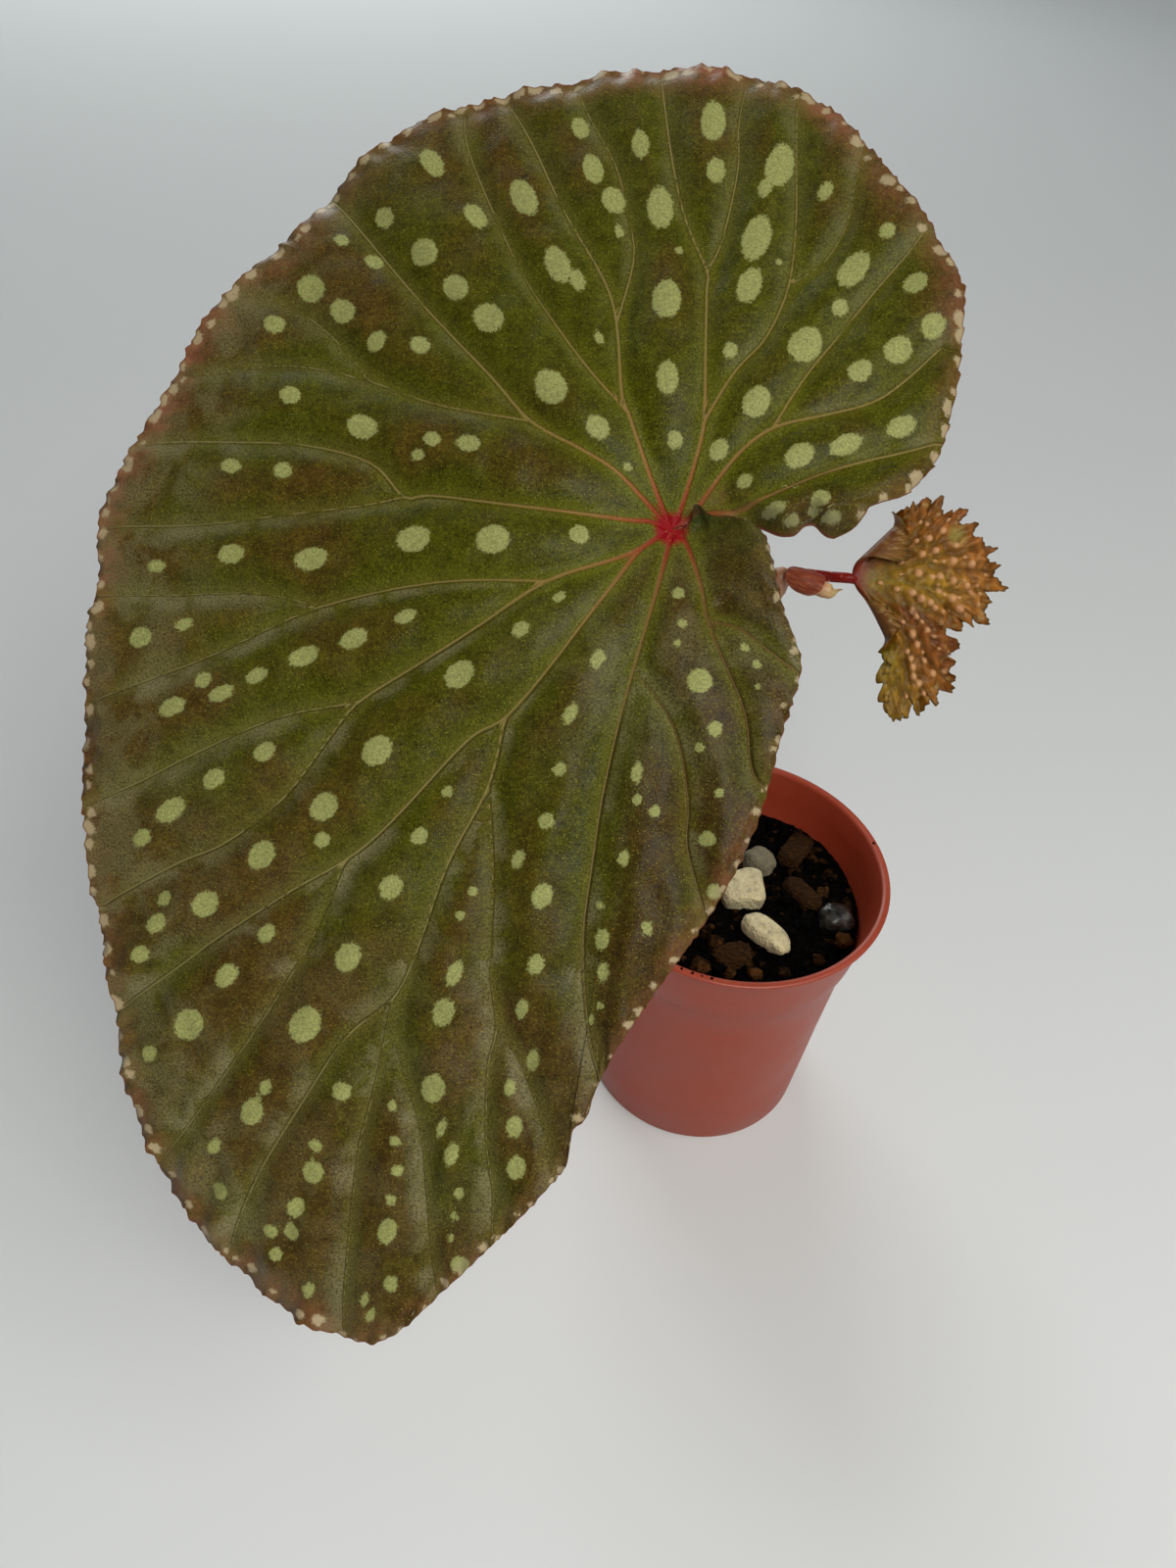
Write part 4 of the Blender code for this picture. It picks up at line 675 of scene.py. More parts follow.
def fan_piece(name, rows, surface, materials, nodes):
    """A leaf blade from its fan: surface turns arrays of s, t and face into places and stored values."""
    bm = leaf_fan(rows)
    flat = np.array([tuple(vert.co) for vert in bm.verts])
    places, values = surface(flat[:, 0], flat[:, 1], flat[:, 2])
    for vert, place in zip(bm.verts, places):
        vert.co = place
    bmesh.ops.recalc_face_normals(bm, faces=bm.faces[:])
    if bm.calc_volume(signed=True) < 0:
        bmesh.ops.reverse_faces(bm, faces=bm.faces[:])
    piece = put_piece(name, bm, materials, nodes, math.radians(75))
    for key, numbers in values.items():
        set_values(piece.data, key, numbers)
    return piece


def leaf_axes(slope, roll):
    """Rows u (right), v (up the slope) and n (out of the face) of a leaf's plane."""
    u = Vector((math.cos(roll), 0.0, math.sin(roll)))
    v = Vector((0.0, math.cos(slope), math.sin(slope)))
    v = (v - u * v.dot(u)).normalized()
    return np.array([tuple(u), tuple(v), tuple(u.cross(v))])


def from_segment(u, v, start, end):
    """The way from the nearest point of a segment to each leaf place, and the way along the segment."""
    along = end - start
    share = np.clip(((u - start[0]) * along[0] + (v - start[1]) * along[1]) / (along @ along), 0.0, 1.0)
    return u - start[0] - share * along[0], v - start[1] - share * along[1], along


def line_distance(u, v, knots):
    """Distance in mm from leaf places to one line."""
    nearest = np.full(len(u), np.inf)
    route = smooth_route(knots, 4)
    for start, end in zip(route, route[1:]):
        across_u, across_v, _ = from_segment(u, v, start, end)
        nearest = np.minimum(nearest, np.hypot(across_u, across_v))
    return nearest


def vein_distances(u, v, veins):
    """Soft and hard distance to the nearest vein in mm, its side in half widths, and its half width in mm."""
    star = np.hypot(u, v)
    softened = np.zeros(len(u))
    hard = np.full(len(u), np.inf)
    side = np.zeros(len(u))
    wide = np.full(len(u), 0.3)
    for order, knots in veins:
        route = smooth_route(knots, 4)
        own = np.full(len(u), np.inf)
        own_side = np.zeros(len(u))
        for start, end in zip(route, route[1:]):
            across_u, across_v, along = from_segment(u, v, start, end)
            gap = np.hypot(across_u, across_v)
            nearer = gap < own
            own = np.where(nearer, gap, own)
            own_side = np.where(nearer, np.copysign(gap, along[0] * across_v - along[1] * across_u), own_side)
        softened += np.exp(-own / VEIN_BLEND)
        nearer = own < hard
        hard = np.where(nearer, own, hard)
        side = np.where(nearer, own_side, side)
        half = (0.17 + 0.34 * np.exp(-star / 22.0)) * (1.0, 0.8, 0.62)[order - 1]
        wide = np.where(nearer, half, wide)
    soft = np.maximum(-VEIN_BLEND * np.log(softened), 0.0)
    return soft, hard, side / wide, wide


def spot_field(u, v, spots):
    """Distance in mm to the edge of the nearest marking (below zero inside it), the place in it and its key.

    Each marking lies towards the star. The place is (along, across) in shares of its size, then that size.
    The key is a number and its square: between corners that belong to two markings the mean square differs.
    """
    field = np.full(len(u), 5.0)
    local = np.tile((9.0, 9.0, 1.0), (len(u), 1))
    key = np.zeros((len(u), 3))
    for index, (place_u, place_v, long, short) in enumerate(spots):
        way = math.atan2(place_v, place_u)
        du, dv = u - place_u, v - place_v
        along = (du * math.cos(way) + dv * math.sin(way)) / long
        across = (dv * math.cos(way) - du * math.sin(way)) / short
        size = min(long, short)
        own = (np.hypot(along, across) - 1.0) * size
        nearer = own < field
        field = np.where(nearer, own, field)
        local[nearer] = np.stack([along, across, np.full(len(u), size)], axis=1)[nearer]
        number = 0.618 * (index + 1) % 1.0
        key[nearer] = (number, number**2, 0.0)
    return field, local, key


def big_margin(s):
    """Bearing and reach (mm) of the big leaf's margin at shares s of its length, and that length."""
    route = smooth_route(BIG_LEAF_MARGIN, 12)
    share = length_shares(route)
    bearing = np.unwrap(np.arctan2(route[:, 1], route[:, 0]))
    reach = np.hypot(route[:, 0], route[:, 1])
    return np.interp(s, share, bearing), np.interp(s, share, reach), run_lengths(route)[-1]


def margin_teeth(s, count, seed):
    """Uneven teeth of 0 to 1 along a margin: each rises slowly and drops fast towards the tip."""
    draw = np.random.default_rng(seed)
    starts = np.cumsum(draw.uniform(0.55, 1.45, count))
    starts = np.concatenate([[0.0], starts / starts[-1]])
    sizes = draw.uniform(0.35, 1.0, count)
    index = np.clip(np.searchsorted(starts, s, side="right") - 1, 0, count - 1)
    share = (s - starts[index]) / (starts[index + 1] - starts[index])
    return sizes[index] * np.minimum(share / 0.7, (1 - share) / 0.3)


def big_leaf_surface(sizes):
    """The big leaf's shape as a function of s, t and face."""
    axes = leaf_axes(LEAF_SLOPE, LEAF_ROLL)

    def surface(s, t, face):
        bearing, reach, length = big_margin(s)
        tooth = sizes.tooth_length / MM * margin_teeth(s, MARGIN_TEETH, 5) * ease(t, 0.975, 1.0)
        r = t * reach + (tooth - 0.25 * ease(t, 0.975, 1.0)) * ease(s, 0.0, 0.02)
        first, last = big_margin(np.array([0.0, 1.0]))[0]
        near_first = np.clip(1 - (bearing - first) / SLIT_SPREAD, 0.0, 1.0) ** 2
        near_last = np.clip(1 - (last - bearing) / SLIT_SPREAD, 0.0, 1.0) ** 2
        upper_edge = np.radians(np.interp(r, *smooth_route(SLIT_UPPER_EDGE, 6).T))
        lower_edge = np.radians(np.interp(r, *zip(*SLIT_LOWER_EDGE))) + math.tau
        way = bearing + near_first * (upper_edge - first) + near_last * (lower_edge - last)
        u, v = r * np.cos(way), r * np.sin(way)

        soft, gap, side, wide = vein_distances(u, v, BIG_LEAF_VEINS)
        beside_lower = np.maximum(lower_edge - way, 0.0) * r
        beside_upper = np.maximum(way - upper_edge, 0.0) * r
        rim = np.minimum(np.minimum((1 - t) * reach, beside_upper + (near_first <= 0) * 99),
                         beside_lower + (near_last <= 0) * 99)

        # Relief in mm: the dish round the star, pleats between the veins, small bumps, waves along the margin
        dish = 3.0 * (1 - np.exp(-(r / 12.0) ** 2)) - 0.001 * r**2
        to_tip = ease(-v, 40, 100)
        pleat = sizes.pleat_height / MM * (1 - 0.5 * ease(t, 0.8, 1.0))
        fold = pleat * (1 - np.exp(-soft / 3.6) - 0.6 * ease(r, 15, 45)) * ease(r, 0.0, 14.0)
        quilt = ripples(u, v, 7.0, 3) * (0.16 + 0.34 * to_tip) * ease(soft, 0.3, 3.0) * ease(r, 6.0, 25.0)
        fine = ripples(u, v, 3.0, 4) * (0.04 + 0.08 * to_tip) * ease(soft, 0.2, 2.0) * ease(r, 6.0, 25.0)
        ruffle = 0.35 * np.sin(math.tau * s * length / 13.0) * t**5 * ease(s, 0.0, 0.03)
        frill = 0.25 * np.sin(math.tau * s * length / 4.3 + 2.0 * ripples(u, v, 11.0, 8)) * ease(t, 0.93, 1.0)
        curl = -1.1 * ease(t, 0.95, 1.0) * (0.5 + 0.5 * ripples(u, v, 25.0, 9))
        # Beside the slit: one edge lies over the other, a flap at the star, a hem turned down and a crease
        lift = 1.4 * np.exp(-beside_lower / 5.0) * near_last - 1.3 * np.exp(-beside_upper / 3.0) * near_first
        by_lower, by_upper = near_last > 0, near_first > 0
        flap = 1.3 * np.exp(-((r - 3.7) / 1.0) ** 2) * ease(way, lower_edge - 0.5, lower_edge) * by_lower
        hem_share = ease(-beside_upper, -3.0, -0.6) * ease(r, 6.0, 12.0) * by_upper * ease(-r, -26.0, -22.0)
        hem = -2.4 * hem_share
        crease = -0.9 * np.exp(-(line_distance(u, v, LOBE_CREASE) / 1.1) ** 2)
        height = dish + fold + quilt + fine + ruffle + frill + curl * ease(s, 0.0, 0.03)
        height += lift * ease(r, 1.0, 6.0) + flap + hem + crease

        # The underside lies one thickness below, and its ribs stand out further
        half = np.clip(1.25 - np.abs(side) * 0.6, 0.0, 1.0) * (gap < 2.5)
        rib = (0.25 + 0.9 * np.exp(-r / 35.0)) * half * ease(r, 2.0, 8.0)
        thickness = sizes.blade_thickness / MM * (1 - 0.45 * ease(t, 0.9, 1.0))
        height -= face * (thickness + rib)
        # Painted shade, deep green, on the folded flap at the star, on the edge turned down beside the slit
        # and on the hem
        folded = np.exp(-((u - 3.4) ** 2 + (v - 1.5) ** 2) / 1.9**2) * by_lower
        turned_down = 0.45 * np.exp(-beside_lower / 3.0) * ease(r, 3.0, 5.0) * by_lower
        # Zones of painted grey sheen patches: below the star, far out from it and near the left margin
        grey = np.exp(-((u - 3.0) / 15.0) ** 2 - ((v + 18.0) / 13.0) ** 2) + 0.3 * ease(r, 45.0, 80.0)
        grey += 0.6 * ease(-u, 40.0, 60.0) * ease(-rim, -20.0, -8.0)
        brown = 0.9 * np.exp(-((u - 7.0) / 14.0) ** 2 - ((v + 25.0) / 23.0) ** 2)
        brown += 0.55 * np.exp(-((u + 5.0) / 14.0) ** 2 - ((v + 60.0) / 26.0) ** 2)
        brown += 0.22 * ease(r, 60.0, 95.0) + 0.5 * ease(-np.hypot(u - 18.0, v - 4.0), -8.0, -1.0)
        spot, spot_place, spot_key = spot_field(u, v, BIG_LEAF_SPOTS)
        rim_spot, rim_spot_place, rim_spot_key = spot_field(u, v, margin_spots(length))
        values = {
            "leaf_mm": np.stack([u, v, np.zeros(len(u))], axis=1),
            "star": np.hypot(u, v),
            "vein_gap": gap,
            "vein_side": side,
            "vein_ratio": gap / wide,
            # The side of each vein that takes the painted sheen and the painted shade of its groove, turned
            # over towards the tip
            "flank": np.where(v > -58.0, side, -side),
            "rim": rim,
            # Painted shade of the folded and turned-down parts
            "dark": np.clip(folded + turned_down + 0.3 * hem_share, 0.0, 1.0),
            # Where the painted grey sheen patches go
            "haze": np.clip(grey, 0.0, 1.0),
            "brown": np.clip(brown, 0.0, 1.0),
            "spot": spot,
            "spot_place": spot_place,
            "spot_key": spot_key,
            "rim_spot": rim_spot,
            "rim_spot_place": rim_spot_place,
            "rim_spot_key": rim_spot_key,
            "blush": np.interp(s, *zip(*MARGIN_BLUSH)),
        }
        return np.array(STAR) * MM + np.stack([u, v, height], axis=1) * MM @ axes, values

    return surface


def margin_spots(length):
    """Small pale marks set along the margin at uneven steps."""
    draw = np.random.default_rng(21)
    places = np.cumsum(draw.uniform(1.7, 4.8, 200))
    places = places[places < length - 2.0] / length
    bearing, reach, _ = big_margin(places)
    inside = reach - draw.uniform(0.1, 1.5, len(places))
    size = draw.uniform(0.4, 1.2, len(places)) * np.interp(places, (0.6, 0.75), (1.0, 0.6))
    return list(zip(inside * np.cos(bearing), inside * np.sin(bearing), size * 0.8, size))


def young_leaf_margins():
    """The young leaf's toothed margin and a smooth one inside it, sampled alike, with their lengths in mm."""
    step, softness = 0.15, 1.9
    route = smooth_route(YOUNG_LOW_FLAP + YOUNG_TOOTHED_EDGE + YOUNG_HIGH_FLAP, 12)
    lengths = run_lengths(route)
    places = np.arange(0.0, lengths[-1], step)
    toothed = np.stack([np.interp(places, lengths, route[:, axis]) for axis in (0, 1)], axis=1)
    reach = int(3 * softness / step)
    kernel = np.exp(-0.5 * (np.arange(-reach, reach + 1) * step / softness) ** 2)
    kernel /= kernel.sum()
    padded = np.pad(toothed, ((reach, reach), (0, 0)), mode="reflect", reflect_type="odd")
    smooth = np.stack([np.convolve(padded[:, axis], kernel, mode="valid") for axis in (0, 1)], axis=1)
    way = np.gradient(smooth, axis=0)
    way /= np.linalg.norm(way, axis=1)[:, None]
    out = np.stack([way[:, 1], -way[:, 0]], axis=1)
    frill = 0.4 * np.sin(0.5 * math.pi * margin_teeth(places / places[-1], 150, 13)) ** 1.5
    toothed += out * frill[:, None]
    return toothed, smooth - 1.3 * out, run_lengths(smooth)


def young_leaf_surface(sizes):
    """The young leaf's shape as a function of s, t and face: its base corners roll over the blade."""
    axes = leaf_axes(YOUNG_SLOPE, YOUNG_ROLL)
    toothed, smooth, lengths = young_leaf_margins()

    def surface(s, t, face):
        place = s * lengths[-1]
        tip_u, tip_v = (np.interp(place, lengths, toothed[:, axis]) for axis in (0, 1))
        edge_u, edge_v = (np.interp(place, lengths, smooth[:, axis]) for axis in (0, 1))
        tip = ease(t, 0.74, 1.0)
        u = t * edge_u + tip * (tip_u - edge_u)
        v = t * edge_v + tip * (tip_v - edge_v)
        r, bearing = np.hypot(u, v), np.arctan2(v, u)
        outward = np.sign(np.hypot(tip_u, tip_v) - np.hypot(edge_u, edge_v))
        past_edge = tip * outward * np.hypot(tip_u - edge_u, tip_v - edge_v)

        rib = np.min([line_distance(u, v, route) for route in YOUNG_RIBS], axis=0)
        between = 1 - np.exp(-rib / 0.8)
        wart = np.zeros(len(u))
        raised = np.zeros(len(u))
        for wart_u, wart_v, radius in YOUNG_WARTS:
            beside = ((u - wart_u) ** 2 + (v - wart_v) ** 2) / (1.35 * radius) ** 2
            dome = np.clip(1 - beside, 0.0, 1.0) ** 1.6
            wart = np.maximum(wart, dome)
            raised = np.maximum(raised, dome * radius / 0.6)
        calm = 1 - 0.8 * np.minimum(wart * 2, 1.0)
        crinkle = ripples(u, v, 2.0, 31) + 0.5 * ripples(u, v, 0.9, 32)
        height = 1.6 * (ease(r, 0.0, 10.0) - 1.2 * ease(r, 10.0, 24.0)) + 0.55 * between * ease(r, 2.0, 7.0)
        height += sizes.wart_height / MM * raised
        height += 0.2 * calm * crinkle * ease(r, 4.0, 9.0)
        lifted = 0.4 + 0.6 * ripples(u, v, 5.0, 33)
        height += 0.55 * np.maximum(past_edge, 0.0) * lifted * ease(r, 9.0, 12.0)
        height += 0.3 * np.sin(math.tau * place / 1.5) * ease(t, 0.86, 1.0)

        # What lies past the two fold lines is rolled up on a small radius and then lies over the blade
        fold_low = np.radians(-46.0 + 38.0 * np.exp(-r / 4.5))
        past_high = np.maximum(bearing - YOUNG_FOLD_HIGH, 0.0)
        past_low = np.maximum(fold_low - bearing, 0.0)
        side = np.where(past_high > 0, 1.0, -1.0)
        arc = r * (past_high + past_low)
        fold_reach = np.where(side > 0, YOUNG_FLAP_HIGH, YOUNG_FLAP_LOW)
        rolled = 1 - ease((r - fold_reach) / YOUNG_FLAP_FADE, 0.0, 1.0)
        turn = np.minimum(arc / YOUNG_ROLL_RADIUS, YOUNG_ROLL_TURN) * rolled
        curved = np.minimum(arc, YOUNG_ROLL_TURN * YOUNG_ROLL_RADIUS)
        across = curved * np.sinc(turn / math.pi) + (arc - curved) * np.cos(turn)
        up = curved * np.sin(turn / 2) * np.sinc(turn / math.tau) + (arc - curved) * np.sin(turn)
        way = np.clip(bearing, fold_low, YOUNG_FOLD_HIGH)
        side_u, side_v = -side * np.sin(way), side * np.cos(way)
        frilled = 0.25 * np.sin(math.tau * place / 1.3) * ease(t, 0.8, 1.0) * ease(turn, 0.5, 1.5)
        height = height * (1 - ease(turn, 0.0, 0.8)) + up + frilled
        free = 1 - rolled
        on_u = rolled * (r * np.cos(way) + across * side_u) + free * u
        on_v = rolled * (r * np.sin(way) + across * side_v) + free * v
        top = np.stack([on_u, on_v, height], axis=1)
        below = np.stack([side_u * np.sin(turn), side_v * np.sin(turn), -np.cos(turn)], axis=1)
        thickness = sizes.young_thickness / MM * (1 - 0.4 * ease(t, 0.85, 1.0))
        solid = top + below * (thickness * face)[:, None]
        values = {
            "leaf_mm": np.stack([u, v, np.zeros(len(u))], axis=1),
            "star": r,
            "bearing": np.degrees(bearing),
            "rib": rib,
            "wart": wart,
            "rim": (1 - t) * np.hypot(edge_u, edge_v),
            "flap": ease(turn, 0.3, 1.6),
            "fold": np.exp(-((turn - 0.9) / 0.7) ** 2) * rolled,
            # Height of the crinkles, which sets their painted shade and light
            "crinkle": calm * crinkle,
        }
        return np.array(YOUNG_BASE) * MM + solid * MM @ axes, values

    return surface


def pot_material(colours):
    """Moulded polypropylene: an even satin skin with a faint bloom and fine handling marks."""
    material, tree = new_material("moulded polypropylene")
    where = object_place(tree)
    haze = noisy(where, 90.0, 4.0)
    tone = blend(haze, shaded(colours.pot, 0.88), shaded(colours.pot, 1.12))
    # Handling marks about 0.4 mm across
    marks = noisy(where, 2500.0, 2.0)
    rough = span(haze, 0.3, 0.7, 0.36, 0.5)
    skin = bump(marks, 0.15, 0.00004)
    return skinned(material, tone, rough, skin, {"IOR": 1.49}, scatter=(0.12, (0.004, 0.0015, 0.001), 0.5))


def soil_material(colours):
    """Damp peat and bark compost: nearly black, with brown fibres and small wet glints."""
    material, tree = new_material("peat compost")
    where = object_place(tree)
    # Crumbs about 1 mm across, fibres about 0.3 mm
    crumbs = noisy(where, 900.0, 5.0, 0.7)
    fibres = noisy(where, 3000.0, 3.0)
    tone = graded(
        plus(crumbs, stored(tree, "kind")), (0.42, shaded(colours.soil, 0.3)),
        (0.66, shaded(colours.soil, 1.3)), (0.80, shaded(colours.bark, 0.5)),
        (1.0, shaded(colours.bark, 1.9)),
    )
    rough = span(fibres, 0.35, 0.65, 0.6, 0.98)
    relief = bump(fibres, 0.8, 0.00025)
    return skinned(material, tone, rough, relief, {"Specular IOR Level": 0.03})


def bark_material(colours):
    """Composted pine bark: fibrous red-brown plates, dull and dry on top."""
    material, tree = new_material("composted bark")
    grain = noisy(object_place(tree, (1.0, 3.0, 3.0)), 700.0, 5.0, 0.7)
    tone = graded(
        grain, (0.3, shaded(colours.bark, 0.25)), (0.55, shaded(colours.bark, 0.8)),
        (0.8, shaded(colours.bark, 2.2)),
    )
    relief = bump(grain, 0.9, 0.0004)
    return skinned(material, tone, 0.85, relief, {"Specular IOR Level": 0.08})


def perlite_material(name, tint):
    """Expanded volcanic glass: chalky and porous, stained by the compost in its pits."""
    material, tree = new_material(name)
    where = object_place(tree)
    # Pores about 0.5 mm across
    pores = cellular(where, 1900.0)
    stain = noisy(where, 420.0, 5.0, 0.65)
    tone = graded(stain, (0.3, shaded(tint, 0.5)), (0.48, shaded(tint, 0.9)), (0.65, shaded(tint, 1.15)))
    relief = bump(stain, 0.6, 0.0006, bump(pores, 0.7, 0.0003))
    return skinned(material, tone, 0.8, relief, scatter=(0.2, (0.002, 0.0016, 0.001), 0.4))


def grit_material():
    """Dark quartz grit: a glassy pebble with a frosted, slightly dusty skin."""
    material, tree = new_material("quartz grit")
    cloud = noisy(object_place(tree), 500.0, 5.0)
    tone = graded(cloud, (0.4, "#11100e"), (0.6, "#2c2b28"), (0.8, "#5c5a54"))
    rough = span(cloud, 0.4, 0.7, 0.22, 0.55)
    relief = bump(cloud, 0.4, 0.0004)
    return skinned(material, tone, rough, relief, {"IOR": 1.54, "Transmission Weight": 0.15})


def stalk_material(colours):
    """Young begonia stalk: watery red flesh under a glossy skin, with pale flecks."""
    material, tree = new_material("red leaf stalk")
    long = object_place(tree, (1.0, 1.0, 0.35))
    fleck = span(cellular(long, 900.0), 0.16, 0.28, 1.0, 0.0)
    streak = noisy(long, 500.0, 3.0)
    flesh = blend(streak, shaded(colours.stalk, 0.55), shaded(colours.stalk, 1.35))
    tone = blend(fleck, flesh, "#a8745a")
    relief = bump(streak, 0.3, 0.0002)
    return skinned(
        material, tone, 0.38, relief, {"Specular IOR Level": 0.18},
        scatter=(0.25, (0.003, 0.0008, 0.0008), 0.5),
    )


def cane_material():
    """Begonia cane: green-brown skin with raised pale specks, corky rings at its knots and a pink tip."""
    material, tree = new_material("begonia cane")
    young = smooth_span(add(tree, "SeparateXYZ", {0: object_place(tree)}, out="Z"), 0.100, 0.1135)
    long = object_place(tree, (1.0, 1.0, 0.4))
    speck = span(cellular(long, 800.0), 0.12, 0.24, 0.85, 0.0)
    mottle = noisy(long, 300.0, 5.0)
    skin = blend(mottle, "#4b3a24", "#7a5a3a")
    skin = blend(young, skin, "#a8785a")
    skin = blend(stored(tree, "knot"), skin, "#8f7a5c")
    tone = blend(speck, skin, "#c9b08c")
    relief = bump(mottle, 0.4, 0.0003, bump(speck, 0.4, 0.0001))
    return skinned(material, tone, 0.5, relief)


def bud_material(colours):
    """Leaf bud: pale pink tissue that fades to cream-green at its tip."""
    material, tree = new_material("leaf bud tissue")
    veins = noisy(object_place(tree), 1100.0, 4.0)
    tone = graded(
        stored(tree, "along"), (0.0, "#a06c54"), (0.35, colours.bud), (0.72, "#cdb684"), (0.88, "#b9b074"),
        (1.0, "#8a6a3c"),
    )
    tone = tinted(tone, "#c98878", veins)
    relief = bump(veins, 0.3, 0.0002)
    return skinned(material, tone, 0.42, relief, scatter=(0.3, (0.003, 0.0015, 0.001), 0.5))


def stipule_material():
    """Stipule: a papery red-brown sheath, streaked lengthwise and paler along its edges."""
    material, tree = new_material("papery stipule")
    across = stored(tree, "across")
    streaks = noisy(stored(tree, "streak", "Vector"), 1.0, 4.0)
    tone = graded(streaks, (0.3, "#66281a"), (0.52, "#84422a"), (0.75, "#a87048"))
    tone = blend(smooth_span(across, -1.0, 0.1, 0.8, 0.0), tone, "#6a1812")
    tone = blend(span(across, 0.8, 1.0, 0.0, 0.6), tone, "#b08a68")
    relief = bump(streaks, 0.25, 0.0001)
    return skinned(
        material, tone, 0.45, relief, {"Specular IOR Level": 0.2},
        scatter=(0.15, (0.002, 0.001, 0.001), 0.5),
    )


def marking_field(tree, name):
    """Distance in mm to a marking's edge: exact in a face with one marking, else the stored distance."""
    local = stored(tree, name + "_place", "Vector")
    flat = add(tree, "VectorMath", {0: local, 1: (1.0, 1.0, 0.0)}, operation="MULTIPLY")
    reach = add(tree, "VectorMath", {0: flat}, operation="LENGTH", out="Value")
    past_edge = add(tree, "Math", {0: reach, 1: 1.0}, operation="SUBTRACT")
    exact = times(past_edge, add(tree, "SeparateXYZ", {0: local}, out=2))
    number = add(tree, "SeparateXYZ", {0: stored(tree, name + "_key", "Vector")})
    square = number.node.outputs["Y"]
    spread = add(tree, "Math", {0: square, 1: times(number, number)}, operation="SUBTRACT")
    single = add(tree, "Math", {0: spread, 1: SAME_MARKING}, operation="LESS_THAN")
    return add(tree, "Mix", {0: single, 2: plus(stored(tree, name), 0.1), 3: exact}, data_type="FLOAT")


def big_leaf_material(colours):
    """Upper face of the big leaf: satin olive skin, tiny cells, pale spots, sunk veins, painted grey sheen in
    patches and beside the veins, painted shade in the vein grooves and on folded parts, and painted glints on
    the cells.
    """
    material, tree = new_material("begonia leaf, upper face")
    place = stored(tree, "leaf_mm", "Vector")
    star, rim, blush, dark, haze, brown = all_stored(tree, "star", "rim", "blush", "dark", "haze", "brown")
    gap, side, flank, ratio = all_stored(tree, "vein_gap", "vein_side", "flank", "vein_ratio")
    spot, rim_spot = marking_field(tree, "spot"), marking_field(tree, "rim_spot")
    # Noise over the leaf in mm: patches of 20 mm, mottling of 3 mm, grain of 0.6 mm, dust and cells of 0.3 mm
    patches = noisy(place, 0.05, 3.0)
    mottle = noisy(place, 0.35, 6.0, 0.65)
    grain = noisy(place, 1.6, 4.0, 0.75)
    dust = noisy(place, 3.4, 2.0)
    cells = cellular(place, 3.2)
    painted_glint_chance = span(cells.node.outputs["Color"], 0.62, 0.74)
    # Net of the smallest veins, 4 mm across
    drift = noisy(place, 0.22, 3.0).node.outputs["Color"]
    bent = add(tree, "VectorMath", {0: drift, 1: (7.0, 7.0, 0.0), 2: place}, operation="MULTIPLY_ADD")
    thread = smooth_span(cellular(bent, 0.24, feature="DISTANCE_TO_EDGE"), 0.0, 0.05, 1.0, 0.0)

    # Bronze between the veins and away from the star, olive beside them
    away = smooth_span(gap, 0.8, 5.0, -0.1, 0.4)
    far = span(star, 12.0, 80.0, -0.3, 0.4)
    patchy = span(patches, 0.36, 0.62, -0.5, 0.6)
    bronze = plus(plus(plus(away, far), patchy), brown, clamp=True)
    tone = blend(bronze, colours.leaf_green, colours.leaf_bronze)
    shade, fine = span(mottle, 0.25, 0.75, 0.52, 1.5), span(grain, 0.3, 0.7, 0.55, 1.48)
    dusty, lobe = span(dust, 0.3, 0.7, 0.6, 1.45), span(brown, 0.0, 0.8, 1.0, 0.68)
    for factor in (shade, fine, dusty, lobe):
        tone = tinted(tone, factor)

    # Pink flush that starts at the margin
    reach = smooth_span(rim, 0.0, 6.5, 1.0, 0.0)
    flush = times(reach, blush, span(mottle, 0.35, 0.6, 0.25, 0.95))
    tone = blend(flush, tone, colours.leaf_blush)

    # Soft band along the veins: the yellow-olive at the star is the leaf's own colour, the grainy grey-olive
    # further out is painted sheen; and the faint net
    share = span(star, 0.0, 80.0)
    band = times(smooth_span(gap, 0.3, 2.1, 1.0, 0.0), span(dust, 0.32, 0.65, 0.12, 0.62))
    band_tone = graded(share, (0.05, "#70740c"), (0.3, "#686618"), (0.6, "#6a642a"), (1.0, "#6c6632"))
    tone = blend(band, tone, band_tone)
    tone = blend(times(thread, 0.14), tone, "#6a6c24")

    # Painted grey sheen in patches of 5 mm, broken up by the grain
    cloud = noisy(place, 0.14, 4.0, 0.6, distortion=0.6)
    broken = span(dust, 0.36, 0.62, 0.25, 1.0)
    painted_sheen_patches = times(smooth_span(cloud, 0.4, 0.6, 0.12, 0.8), haze, broken, lobe)
    tone = blend(painted_sheen_patches, tone, "#78724e")

    # Painted grainy grey sheen on one flank of each vein, wider away from the star, behind a painted dark
    # line of shade in the vein's groove
    lit_side = span(flank, 1.2, 2.2)
    flank_share = add(tree, "Math", {0: gap, 1: span(star, 14.0, 60.0, 1.4, 3.4)}, operation="DIVIDE")
    fade = smooth_span(flank_share, 0.3, 1.0, 1.0, 0.0)
    outward = span(star, 10.0, 32.0, 0.0, 0.75)
    patchiness = span(cloud, 0.42, 0.62)
    lower = span(add(tree, "SeparateXYZ", {0: place}, out="Y"), -12.0, 22.0, 1.0, 0.5)
    sheen = times(broken, lit_side, fade, outward, patchiness, lower, lobe)
    grey = blend(lower, "#6c7048", "#857d5e")
    tone = blend(sheen, tone, grey)
    painted_groove_shade = times(span(flank, 0.8, 1.3), span(flank, 1.6, 2.3, 0.75, 0.0), outward, lower)
    tone = blend(painted_groove_shade, tone, "#2c1c08")

